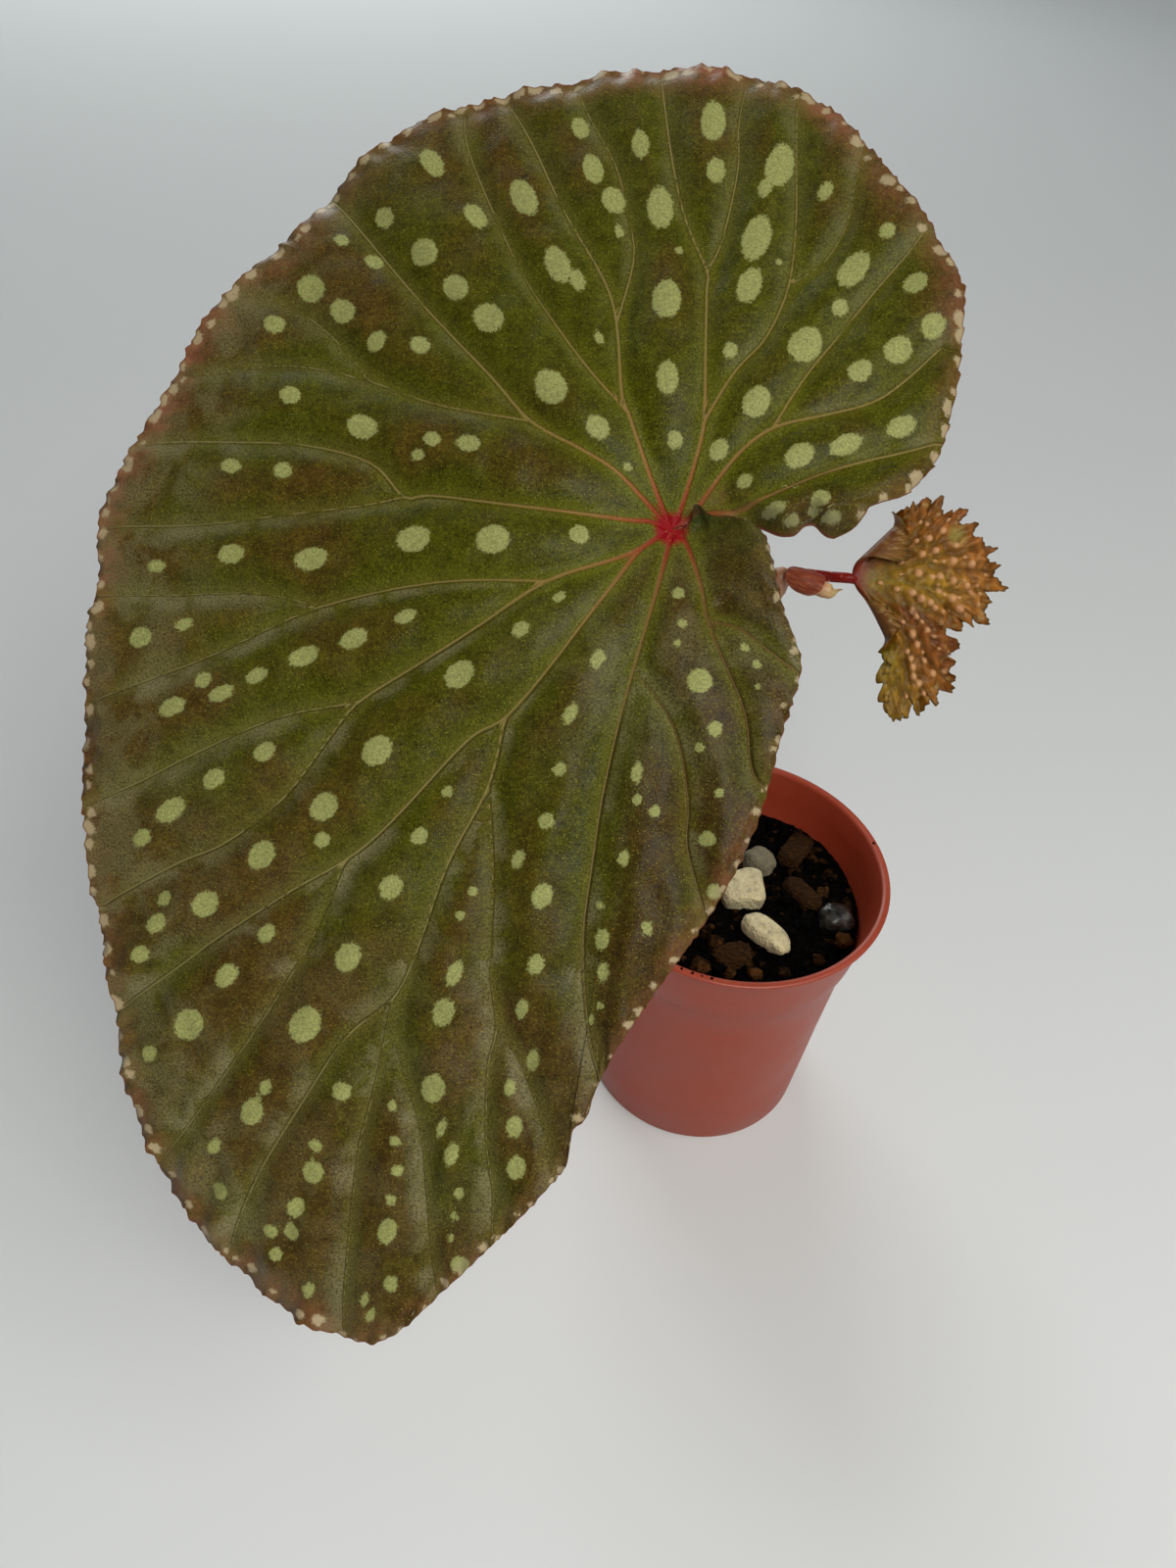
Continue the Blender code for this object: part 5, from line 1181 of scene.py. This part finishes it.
    # Spots with a broken edge and a grainy, chalky inside
    edge = span(grain, 0.25, 0.75, -0.42, 0.42)
    inside = smooth_span(plus(spot, edge), -0.16, 0.16, 1.0, 0.0)
    coarse = span(grain, 0.35, 0.65)
    chalk = blend(coarse, shaded(colours.leaf_spot, 0.82), shaded(colours.leaf_spot, 1.2))
    chalk = tinted(chalk, span(dust, 0.3, 0.7, 0.72, 1.28))
    chalk = blend(span(rim, 1.5, 4.0, 0.7, 0.0), chalk, "#938c66")
    tone = blend(inside, tone, chalk)
    tone = blend(smooth_span(plus(rim_spot, edge), -0.2, 0.2, 0.9, 0.0), tone, "#b09e7c")

    # Veins: crimson at the star, then tan, then pale olive
    width = add(tree, "Math", {0: side}, operation="ABSOLUTE")
    vein = times(smooth_span(width, 0.25, 1.1, 1.0, 0.0), span(ratio, 1.2, 1.6, 1.0, 0.0))
    vein_tone = graded(
        share, (0.0, colours.vein_red), (0.04, "#962a20"), (0.075, "#96522e"), (0.13, "#906a3a"),
        (0.3, "#887640"), (1.0, colours.vein_pale),
    )
    lobe_vein = add(tree, "Math", {0: brown, 1: 1.1}, operation="MULTIPLY", use_clamp=True)
    vein_tone = blend(lobe_vein, vein_tone, "#54401e")
    tone = blend(times(vein, span(star, 8.0, 80.0, 0.92, 0.85)), tone, vein_tone)
    tone = blend(smooth_span(star, 1.5, 2.8, 1.0, 0.0), tone, colours.vein_red)
    tone = blend(span(rim, 0.08, 0.32, 0.75, 0.0), tone, "#6e3c22")

    # Painted glints: bright dots on some of the tiny cells; and painted shade: deep green on the parts that
    # are folded over or turned down
    tone = blend(times(span(cells, 0.16, 0.32, 0.8, 0.0), painted_glint_chance), tone, "#8c8434")
    tone = blend(times(dark, 0.85), tone, "#2a3014")

    rough = span(mottle, 0.25, 0.75, 0.3, 0.42)
    rough = add(tree, "Mix", {0: inside, 2: rough, 3: 0.45}, data_type="FLOAT")
    relief = bump(vein, 0.6, 0.0003, invert=True)
    relief = bump(mottle, 0.25, 0.0004, relief)
    relief = bump(grain, 0.3, 0.0001, relief)
    relief = bump(cells, 0.5, 0.00008, relief, invert=True)
    return skinned(material, tone, rough, relief, {"IOR": 1.45, "Specular IOR Level": 0.12})


def leaf_back_material():
    """Underside of the big leaf: dull red flesh with raised, paler veins and spots that show through."""
    material, tree = new_material("begonia leaf, underside")
    place = stored(tree, "leaf_mm", "Vector")
    gap, side, spot, star = all_stored(tree, "vein_gap", "vein_side", "spot", "star")
    mottle = noisy(place, 0.3, 5.0)
    tone = blend(mottle, "#6b2f28", "#8a4a3c")
    tone = blend(span(gap, 0.5, 4.0, 0.45, 0.0), tone, "#6f5f38")
    tone = blend(span(spot, -0.3, 0.3, 0.55, 0.0), tone, "#b08a6a")
    width = add(tree, "Math", {0: side}, operation="ABSOLUTE")
    vein = times(smooth_span(width, 0.7, 1.8, 0.85, 0.0), span(gap, 1.2, 2.0, 1.0, 0.0))
    tone = blend(vein, tone, blend(span(star, 5.0, 70.0), "#b02c3c", "#a86a58"))
    relief = bump(mottle, 0.4, 0.0006)
    return skinned(material, tone, 0.55, relief, scatter=(0.1, (0.002, 0.001, 0.0005), 0.5))


def young_leaf_material(colours):
    """Young leaf: a crinkled gold-brown blade with rows of pale glassy warts, olive ribs and maroon folds."""
    material, tree = new_material("young begonia leaf")
    place = stored(tree, "leaf_mm", "Vector")
    star, bearing, rib, wart = all_stored(tree, "star", "bearing", "rib", "wart")
    rim, flap, fold, crinkle = all_stored(tree, "rim", "flap", "fold", "crinkle")
    # Mottling of 2 mm and grain of 0.4 mm
    mottle = noisy(place, 0.5, 5.0, 0.65)
    grain = noisy(place, 2.4, 3.0)
    # Olive at the lowest edge, dark beside the notch, gold in the middle, brown above, rosy at the far end
    zones = graded(
        span(bearing, -80.0, 80.0), (0.10, colours.young_green), (0.17, shaded(colours.young_green, 0.9)),
        (0.22, "#745010"), (0.30, "#744412"), (0.39, "#5e360e"), (0.44, "#825a18"), (0.52, "#90701c"),
        (0.62, "#86621a"), (0.76, "#744a10"), (1.0, colours.young_brown),
    )
    tone = blend(span(star, 11.0, 18.0, 0.0, 0.6), zones, "#8e5228")
    middle = times(span(star, 3.0, 13.0, 0.6, 0.0), span(bearing, -26.0, -12.0))
    tone = blend(times(middle, span(bearing, 10.0, 26.0, 1.0, 0.0)), tone, "#7c6c1c")
    tone = blend(times(span(bearing, -30.0, -12.0, 1.0, 0.0), 0.5), tone, zones)
    # Painted shade darkens the valleys of the crinkles and painted light brightens their ridges to gold
    tone = tinted(tone, smooth_span(crinkle, -1.1, 1.1, 0.74, 1.24))
    tone = tinted(tone, span(mottle, 0.25, 0.75, 0.75, 1.3))
    valley_tone = blend(span(star, 3.0, 14.0, 1.0, 0.0), "#4e360e", "#7a7020")
    tone = blend(smooth_span(rib, 0.05, 0.7, 0.5, 0.0), tone, valley_tone)
    tone = blend(smooth_span(star, 0.5, 3.2, 0.95, 0.0), tone, colours.stalk)
    # Cream patch on the upper side
    away = add(tree, "VectorMath", {0: place, 1: (13.6, 9.2, 0.0)}, operation="DISTANCE", out="Value")
    tone = blend(span(plus(away, mottle), 1.2, 2.4, 0.6, 0.0), tone, "#a09650")
    # Smooth brown back of the flaps, maroon along their fold, ochre on their frill, and the warts
    tone = blend(times(flap, 0.9), tone, blend(mottle, "#48240e", "#7c5028"))
    tone = blend(times(fold, 0.65), tone, "#6e2220")
    tone = blend(times(span(rim, 0.3, 1.3, 0.9, 0.0), flap), tone, "#8a642a")
    tone = blend(smooth_span(wart, 0.05, 0.85, 0.0, 0.9), tone, colours.wart)
    # Pale beads just inside the margin, with a dark line at its very edge
    bead = times(span(cellular(place, 0.95), 0.2, 0.42, 1.0, 0.0), span(rim, 0.5, 2.4, 0.55, 0.0))
    tone = blend(bead, tone, "#a8905a")
    tone = blend(span(rim, 0.05, 0.55, 0.8, 0.0), tone, "#463410")
    relief = bump(grain, 0.35, 0.00015, bump(mottle, 0.4, 0.0004))
    rough = span(grain, 0.3, 0.7, 0.32, 0.5)
    return skinned(
        material, tone, rough, relief, {"Specular IOR Level": 0.2},
        scatter=(0.12, (0.002, 0.001, 0.0004), 0.4),
    )


def floor_material(colours):
    """Seamless paper: a matte, even pale grey."""
    material, tree = new_material("seamless background paper")
    relief = bump(noisy(object_place(tree), 1200.0, 2.0), 0.05, 0.0001)
    return skinned(material, colours.floor, 0.9, relief, {"Specular IOR Level": 0.2})


def pot_piece(sizes, colours):
    """The pot: its wall turned in one profile, with round drain holes cut through its floor."""
    bm = turned(((0.0, 0.0),) + POT_OUTSIDE + POT_INSIDE + ((0.0, 0.8),), sizes.pot_segments)
    pot = put_piece("pot_shell", bm, [pot_material(colours)], ["pot"], math.radians(50))
    holes = bmesh.new()
    for index in range(DRAIN_COUNT):
        angle = math.tau * (index + 0.5) / DRAIN_COUNT
        place = (DRAIN_CIRCLE * math.cos(angle), DRAIN_CIRCLE * math.sin(angle), 0.4 * MM)
        bmesh.ops.create_cone(
            holes, cap_ends=True, segments=40, radius1=DRAIN_RADIUS, radius2=DRAIN_RADIUS, depth=4 * MM,
            matrix=Matrix.Translation(place),
        )
    shape = bpy.data.meshes.new("drain_holes")
    holes.to_mesh(shape)
    holes.free()
    cutter = linked("drain_holes", shape)
    cut = pot.modifiers.new("Drain holes", "BOOLEAN")
    cut.object = cutter
    cut.solver = "EXACT"
    bpy.context.view_layer.update()
    done = bmesh.new()
    done.from_object(pot, bpy.context.evaluated_depsgraph_get())
    pot.modifiers.clear()
    done.to_mesh(pot.data)
    done.free()
    bpy.data.objects.remove(cutter)
    bpy.data.meshes.remove(shape)


def soil_height(x, y):
    """Height in metres of the soil's top at a place: lumps of 5 mm, crumbs of 1.5 mm and grit of 0.5 mm."""
    near = Vector((x, y, 0.0)) / (5.5 * MM)
    lumps = noise.noise(near) + 0.6 * noise.noise(near * 2.3 + Vector((7.0, 3.0, 1.0)))
    crumbs = abs(noise.noise(near * 3.7)) * 0.5 + noise.noise(near * 10.0) * 0.14
    return (SOIL_TOP + 1.1 * lumps + crumbs - 0.1) * MM


def soil_piece(colours):
    """The soil: a plug that fills the pot, with a crumbly top."""
    # The top is turned flat and too high, so that its points can be told apart, and then set to its height
    reach, raised = SOIL_OUTSIDE[-1][0], 60.0
    top = [(reach * ring / SOIL_RINGS, raised) for ring in range(SOIL_RINGS)]
    side = [(reach, raised), *reversed(SOIL_OUTSIDE[:-1]), (0.0, SOIL_OUTSIDE[0][1])]
    bm = turned(top + side, SOIL_SEGMENTS)
    for vert in bm.verts:
        if vert.co.z > (raised - 5.0) * MM:
            vert.co.z = soil_height(vert.co.x, vert.co.y)
    put_piece("soil_plug", bm, [soil_material(colours)], ["soil"], math.radians(180))


def add_crumb(bm, draw, place, size, flat):
    """Add one rough lump to a bmesh: a small ball, squared up if it is a flat chip, then stretched."""
    fresh = bmesh.ops.create_icosphere(bm, subdivisions=2, radius=1.0)["verts"]
    shift = Vector((draw.random(), draw.random(), draw.random())) * 50
    for vert in fresh:
        square = sum(part**4 for part in vert.co) ** -0.25 if flat else 1.0
        rough = 1.0 + 0.45 * noise.noise(vert.co * 1.6 + shift) + 0.2 * noise.noise(vert.co * 4.0 + shift)
        vert.co *= square * rough
    stretch = (draw.uniform(1.0, 2.6), draw.uniform(0.6, 1.1), draw.uniform(0.3, 0.7)) if flat else (
        draw.uniform(0.8, 1.3), draw.uniform(0.8, 1.2), draw.uniform(0.6, 1.0))
    turn = Euler((draw.gauss(0, 0.35), draw.gauss(0, 0.35), draw.uniform(0, math.tau))).to_matrix().to_4x4()
    scale = Matrix.Diagonal((size * stretch[0], size * stretch[1], size * stretch[2], 1.0))
    bmesh.ops.transform(bm, matrix=Matrix.Translation(place) @ turn @ scale, verts=fresh)
    return fresh


def crumbs_piece(sizes, colours):
    """Loose compost on the soil: crumbs, chips of bark and a few crumbs on the pot's lip."""
    draw = random.Random(4)
    crumbs = []
    for index in range(sizes.crumb_count):
        reach = LOOSE_REACH * math.sqrt(draw.random())
        angle = draw.uniform(0, math.tau)
        x, y = reach * math.cos(angle), reach * math.sin(angle)
        chip = index % 5 == 0
        size = min(draw.lognormvariate(-0.75, 0.42), 1.25) * MM
        place = Vector((x, y, soil_height(x, y) + size * draw.uniform(-0.1, 0.35)))
        crumbs.append((place, size, chip, draw.uniform(0.08, 0.34) if chip else draw.uniform(-0.18, 0.12)))
    for x, y, size, value in BROWN_LUMPS:
        place = Vector((x * MM, y * MM, soil_height(x * MM, y * MM) + 0.25 * size * MM))
        crumbs.append((place, size * MM, False, value))
    for angle in LIP_CRUMBS:
        place = Vector((LIP_REACH * math.cos(angle), LIP_REACH * math.sin(angle), LIP_HEIGHT))
        crumbs.append((place, draw.uniform(0.14, 0.34) * MM, False, 0.1))
    # A bmesh operator slows down as its bmesh grows, so the crumbs are made a few at a time
    whole, carrier = bmesh.new(), bpy.data.meshes.new("crumb_carrier")
    for first in range(0, len(crumbs), 40):
        bm = bmesh.new()
        tone = bm.verts.layers.float.new("kind")
        for place, size, chip, value in crumbs[first:first + 40]:
            for vert in add_crumb(bm, draw, place, size, chip):
                vert[tone] = value
        bm.to_mesh(carrier)
        bm.free()
        whole.from_mesh(carrier)
    bpy.data.meshes.remove(carrier)
    put_piece("loose_crumbs", whole, [soil_material(colours)], (), math.radians(50))


def grain_piece(name, half_sizes, place, turn, squareness, roughness, pits, material, slot):
    """One loose grain: a rounded block with an uneven, pitted skin."""
    bm = bmesh.new()
    bmesh.ops.create_icosphere(bm, subdivisions=6, radius=1.0)
    shift = Vector(place)
    for vert in bm.verts:
        way = vert.co.copy()
        square = sum(abs(part) ** squareness for part in way) ** (-1.0 / squareness)
        rough = 1.0 + 0.09 * noise.noise(way * 1.7 + shift)
        rough += roughness * (noise.noise(way * 4.5 + shift) + 0.6 * noise.noise(way * 10.0 + shift))
        nearest = noise.voronoi(way * 5.0 + shift)[0][0]
        rough -= pits * max(0.0, 1.0 - nearest / 0.35)
        vert.co = way * square * rough
    rotation = Euler([math.radians(angle) for angle in turn]).to_matrix().to_4x4()
    scale = Matrix.Diagonal((*[half * MM for half in half_sizes], 1.0))
    world = Matrix.Translation(Vector(place) * MM) @ rotation @ scale
    bmesh.ops.transform(bm, matrix=world, verts=bm.verts[:])
    put_piece(name + "_grain", bm, [material], [name], math.radians(180))


def nearest_share(mesh, route):
    """For each point of a mesh, the share of the route's length at the nearest sample."""
    places = np.array([tuple(vert.co) for vert in mesh.vertices]) / MM
    gaps = np.linalg.norm(places[:, None, :] - route[None, :, :], axis=2)
    return length_shares(route)[np.argmin(gaps, axis=1)]


def near_knots(share, width):
    """A bump of this width at every knot of the cane."""
    return sum(np.exp(-((share - knot) / width) ** 2) for knot in CANE_KNOTS)


def cane_piece():
    """The cane: a slow taper with a swollen ring at each knot."""
    route = smooth_route(CANE_ROUTE, 40)
    share = length_shares(route)
    lumps = np.array([noise.noise(Vector((0.0, 0.0, place / 2.5))) for place in run_lengths(route)])
    swell, scar = near_knots(share, 0.018), near_knots(share, 0.004)
    radii = 2.2 - 0.7 * share + 0.35 * swell - 0.1 * scar + 0.08 * lumps
    ends, widths = rounded_ends(route, radii, first=False)
    cane = put_piece("cane_stem", round_stem(ends, widths, 40), [cane_material()], ["cane"])
    set_values(cane.data, "knot", near_knots(nearest_share(cane.data, route), 0.012) * 0.7)


def petioles_piece(colours):
    """Both leaf stalks, each rooted in the cane and joined to its blade."""
    material = stalk_material(colours)
    normal = leaf_axes(LEAF_SLOPE, LEAF_ROLL)[2]
    under = np.array(STAR) - normal * 0.35
    route = smooth_route([*BIG_PETIOLE_ROUTE, under - normal * 7.5, under - normal * 3.0, under], 12)
    share = length_shares(route)
    radii = 1.45 + 0.5 * np.exp(-share / 0.06) + 0.75 * ease(share, 0.93, 1.0)
    put_piece(
        "big_leaf_stalk", round_stem(*rounded_ends(route, radii, last=False), 32), [material],
        ["big_leaf_petiole"],
    )
    u, _, n = leaf_axes(YOUNG_SLOPE, YOUNG_ROLL)
    base = np.array(YOUNG_BASE)
    route = smooth_route([*YOUNG_PETIOLE_ROUTE, base - u * 0.4 - n * 0.5, base + u * 1.4 - n * 1.1], 10)
    share = length_shares(route)
    radii = 0.78 + 0.35 * np.exp(-share / 0.08) - 0.15 * ease(share, 0.8, 1.0)
    put_piece(
        "young_leaf_stalk", round_stem(*rounded_ends(route, radii), 24), [material],
        ["young_leaf_petiole"],
    )


def bud_piece(colours):
    """The leaf bud: a pointed cone that ends in a fine needle."""
    start, end = np.array(BUD_START), np.array(BUD_END)
    shares = np.linspace(0.0, 1.14, 60)
    girth = np.interp(shares, *zip(*BUD_GIRTH))
    route = start + shares[:, None] * (end - start)
    route[:, 2] += 1.1 * ease(shares, 0.92, 1.14)
    cone = round_stem(route, girth, 32)
    bud = put_piece("leaf_bud_cone", cone, [bud_material(colours)], ["leaf_bud"])
    set_values(bud.data, "along", nearest_share(bud.data, route))


def stipule_piece():
    """The stipule: a thin sheath that wraps the upper side of the bud and narrows to both ends."""
    start, end = Vector(BUD_START), Vector(BUD_END)
    axis = (end - start).normalized()
    side = axis.cross(Vector((0.0, 0.0, 1.0))).normalized()
    top = side.cross(axis)
    bm = bmesh.new()
    bmesh.ops.create_grid(bm, x_segments=48, y_segments=40, size=1.0)
    across = bm.verts.layers.float.new("across")
    streak = bm.verts.layers.float_vector.new("streak")
    for vert in bm.verts:
        x, y = vert.co.x, vert.co.y
        along = 0.37 + 0.38 * x
        wrap = math.radians(88) * math.sqrt(1.0 - 0.93 * x**2) * y + math.radians(35)
        girth = np.interp(along, *zip(*BUD_GIRTH)) + 0.4 - 0.12 * x**2
        girth += 0.05 * noise.noise(Vector((x * 1.5, wrap * 3.0, 0.0)))
        out = top * math.cos(wrap) + side * math.sin(wrap)
        vert[across] = y
        vert[streak] = (x * 1.2, wrap * 3.0, 0.0)
        vert.co = (start + axis * along * (end - start).length + out * girth) * MM
    bm.normal_update()
    middle = start.lerp(end, 0.5) * MM
    if sum(face.normal.dot(face.calc_center_median() - middle) for face in bm.faces) < 0:
        bmesh.ops.reverse_faces(bm, faces=bm.faces[:])
    sheath = put_piece("stipule_sheath", bm, [stipule_material()], ["stipule"], math.radians(80))
    wall = sheath.modifiers.new("Sheath thickness", "SOLIDIFY")
    wall.thickness = 0.4 * MM
    wall.offset = 1.0


def soft_light(name, place, size, power, tint, target=(0.0, 0.0, 0.08)):
    """A large square lamp turned to its target, the middle of the plant unless given."""
    data = bpy.data.lights.new(name, "AREA")
    data.shape = "SQUARE"
    data.size = size
    data.energy = power
    data.color = colour(tint)[:3]
    lamp = linked(name, data)
    lamp.location = place
    lamp.rotation_euler = (Vector(target) - Vector(place)).to_track_quat("-Z", "Y").to_euler()


def studio(colours):
    """Pale paper floor that rises far round the pot, soft window light and the camera."""
    bm = turned(FLOOR_PROFILE, FLOOR_SEGMENTS)
    for face in bm.faces:
        if face.normal.z < 0:
            face.normal_flip()
    smooth_object("paper_floor", bm, [floor_material(colours)])

    world = bpy.data.worlds.new("Soft room")
    world.use_nodes = True
    bpy.context.scene.world = world
    sky = world.node_tree.nodes["Background"]
    sky.inputs["Color"].default_value = colour("#e8eaec")
    sky.inputs["Strength"].default_value = 0.16
    soft_light("window", (0.67, -0.24, 0.96), 0.7, 4.0, "#fffaf2")
    soft_light("left_window", (-0.73, 0.42, 1.07), 0.6, 0.4, "#f8fbff")
    soft_light("near_window", (0.12, -0.38, 0.5), 0.3, 2.6, "#fffdf6", (0.12, -0.37, 0.0))
    soft_light("far_window", (-0.5, 1.45, 0.9), 1.1, 14.5, "#f6fbf8")

    data = bpy.data.cameras.new("camera")
    data.sensor_fit = "VERTICAL"
    data.sensor_height = SENSOR_HEIGHT
    data.lens = FOCAL_SHARE * SENSOR_HEIGHT
    data.clip_start = 0.005
    camera = linked("camera", data)
    forward = CAMERA_UP.cross(CAMERA_RIGHT).normalized()
    right = forward.cross(CAMERA_UP).normalized()
    turn = Matrix((right, right.cross(forward), -forward)).transposed()
    camera.matrix_world = Matrix.Translation(CAMERA_PLACE) @ turn.to_4x4()
    bpy.context.scene.camera = camera
    bpy.context.scene.view_settings.view_transform = "Standard"


class MESH_OT_begonia_pot(bpy.types.Operator):
    """Add the turned pot with its drain holes"""

    bl_idname = "mesh.begonia_pot"
    bl_label = "Pot"

    def execute(self, context):
        pot_piece(context.scene.begonia_sizes, context.scene.begonia_colours)
        return {"FINISHED"}


class MESH_OT_begonia_soil(bpy.types.Operator):
    """Add the soil and the loose crumbs on it"""

    bl_idname = "mesh.begonia_soil"
    bl_label = "Soil"

    def execute(self, context):
        soil_piece(context.scene.begonia_colours)
        crumbs_piece(context.scene.begonia_sizes, context.scene.begonia_colours)
        return {"FINISHED"}


class MESH_OT_begonia_grains(bpy.types.Operator):
    """Add the perlite, the grit and the bark that lie on the soil"""

    bl_idname = "mesh.begonia_grains"
    bl_label = "Grains"

    def execute(self, context):
        colours = context.scene.begonia_colours
        clean = perlite_material("expanded perlite", colours.perlite)
        stained = perlite_material("stained perlite", shaded(colours.perlite, 0.27))
        for group, roughness, pits, material, slot in (
            (PERLITE[:2], 0.014, 0.03, clean, "perlite"),
            (PERLITE[2:], 0.014, 0.03, stained, "perlite"),
            (GRIT, 0.012, 0.0, grit_material(), "grit"),
            (BARK, 0.11, 0.08, bark_material(colours), "bark"),
        ):
            for grain in group:
                grain_piece(*grain, roughness, pits, material, slot)
        return {"FINISHED"}


class MESH_OT_begonia_cane(bpy.types.Operator):
    """Add the cane"""

    bl_idname = "mesh.begonia_cane"
    bl_label = "Cane"

    def execute(self, context):
        cane_piece()
        return {"FINISHED"}


class MESH_OT_begonia_stalks(bpy.types.Operator):
    """Add the two red leaf stalks"""

    bl_idname = "mesh.begonia_stalks"
    bl_label = "Leaf stalks"

    def execute(self, context):
        petioles_piece(context.scene.begonia_colours)
        return {"FINISHED"}


class MESH_OT_begonia_bud(bpy.types.Operator):
    """Add the leaf bud and the stipule that wraps it"""

    bl_idname = "mesh.begonia_bud"
    bl_label = "Bud and stipule"

    def execute(self, context):
        bud_piece(context.scene.begonia_colours)
        stipule_piece()
        return {"FINISHED"}


class MESH_OT_begonia_big_leaf(bpy.types.Operator):
    """Add the big spotted leaf"""

    bl_idname = "mesh.begonia_big_leaf"
    bl_label = "Big leaf"

    def execute(self, context):
        colours = context.scene.begonia_colours
        fan_piece(
            "big_leaf", BIG_LEAF_ROWS, big_leaf_surface(context.scene.begonia_sizes),
            [big_leaf_material(colours), leaf_back_material()], ["big_leaf_blade"],
        )
        return {"FINISHED"}


class MESH_OT_begonia_young_leaf(bpy.types.Operator):
    """Add the young crinkled leaf"""

    bl_idname = "mesh.begonia_young_leaf"
    bl_label = "Young leaf"

    def execute(self, context):
        colours = context.scene.begonia_colours
        material = young_leaf_material(colours)
        fan_piece(
            "young_leaf", YOUNG_LEAF_ROWS, young_leaf_surface(context.scene.begonia_sizes),
            [material, material], ["young_leaf_blade"],
        )
        return {"FINISHED"}


class SCENE_OT_begonia_studio(bpy.types.Operator):
    """Add the paper floor, the lights and the camera"""

    bl_idname = "scene.begonia_studio"
    bl_label = "Studio"

    def execute(self, context):
        studio(context.scene.begonia_colours)
        return {"FINISHED"}


class VIEW3D_PT_begonia(bpy.types.Panel):
    """Sizes, colours and pieces of the potted begonia"""

    bl_label = "Potted Begonia"
    bl_idname = "VIEW3D_PT_begonia"
    bl_space_type = "VIEW_3D"
    bl_region_type = "UI"
    bl_category = "Begonia"

    def draw(self, context):
        layout = self.layout
        for group in (context.scene.begonia_sizes, context.scene.begonia_colours):
            box = layout.box()
            for name in group.__annotations__:
                box.prop(group, name)
        for operator in OPERATORS:
            layout.operator(operator.bl_idname)


OPERATORS = (
    MESH_OT_begonia_pot, MESH_OT_begonia_soil, MESH_OT_begonia_grains, MESH_OT_begonia_cane,
    MESH_OT_begonia_stalks, MESH_OT_begonia_bud, MESH_OT_begonia_big_leaf, MESH_OT_begonia_young_leaf,
    SCENE_OT_begonia_studio,
)
CLASSES = (BegoniaSizes, BegoniaColours, *OPERATORS, VIEW3D_PT_begonia)


def register():
    for item in CLASSES:
        bpy.utils.register_class(item)
    bpy.types.Scene.begonia_sizes = PointerProperty(type=BegoniaSizes)
    bpy.types.Scene.begonia_colours = PointerProperty(type=BegoniaColours)


def unregister():
    del bpy.types.Scene.begonia_colours
    del bpy.types.Scene.begonia_sizes
    for item in reversed(CLASSES):
        bpy.utils.unregister_class(item)


def main():
    """Build every piece in order."""
    register()
    for operator in OPERATORS:
        group, name = operator.bl_idname.split(".")
        getattr(getattr(bpy.ops, group), name)()
    bpy.context.view_layer.update()


if __name__ == "__main__":
    main()
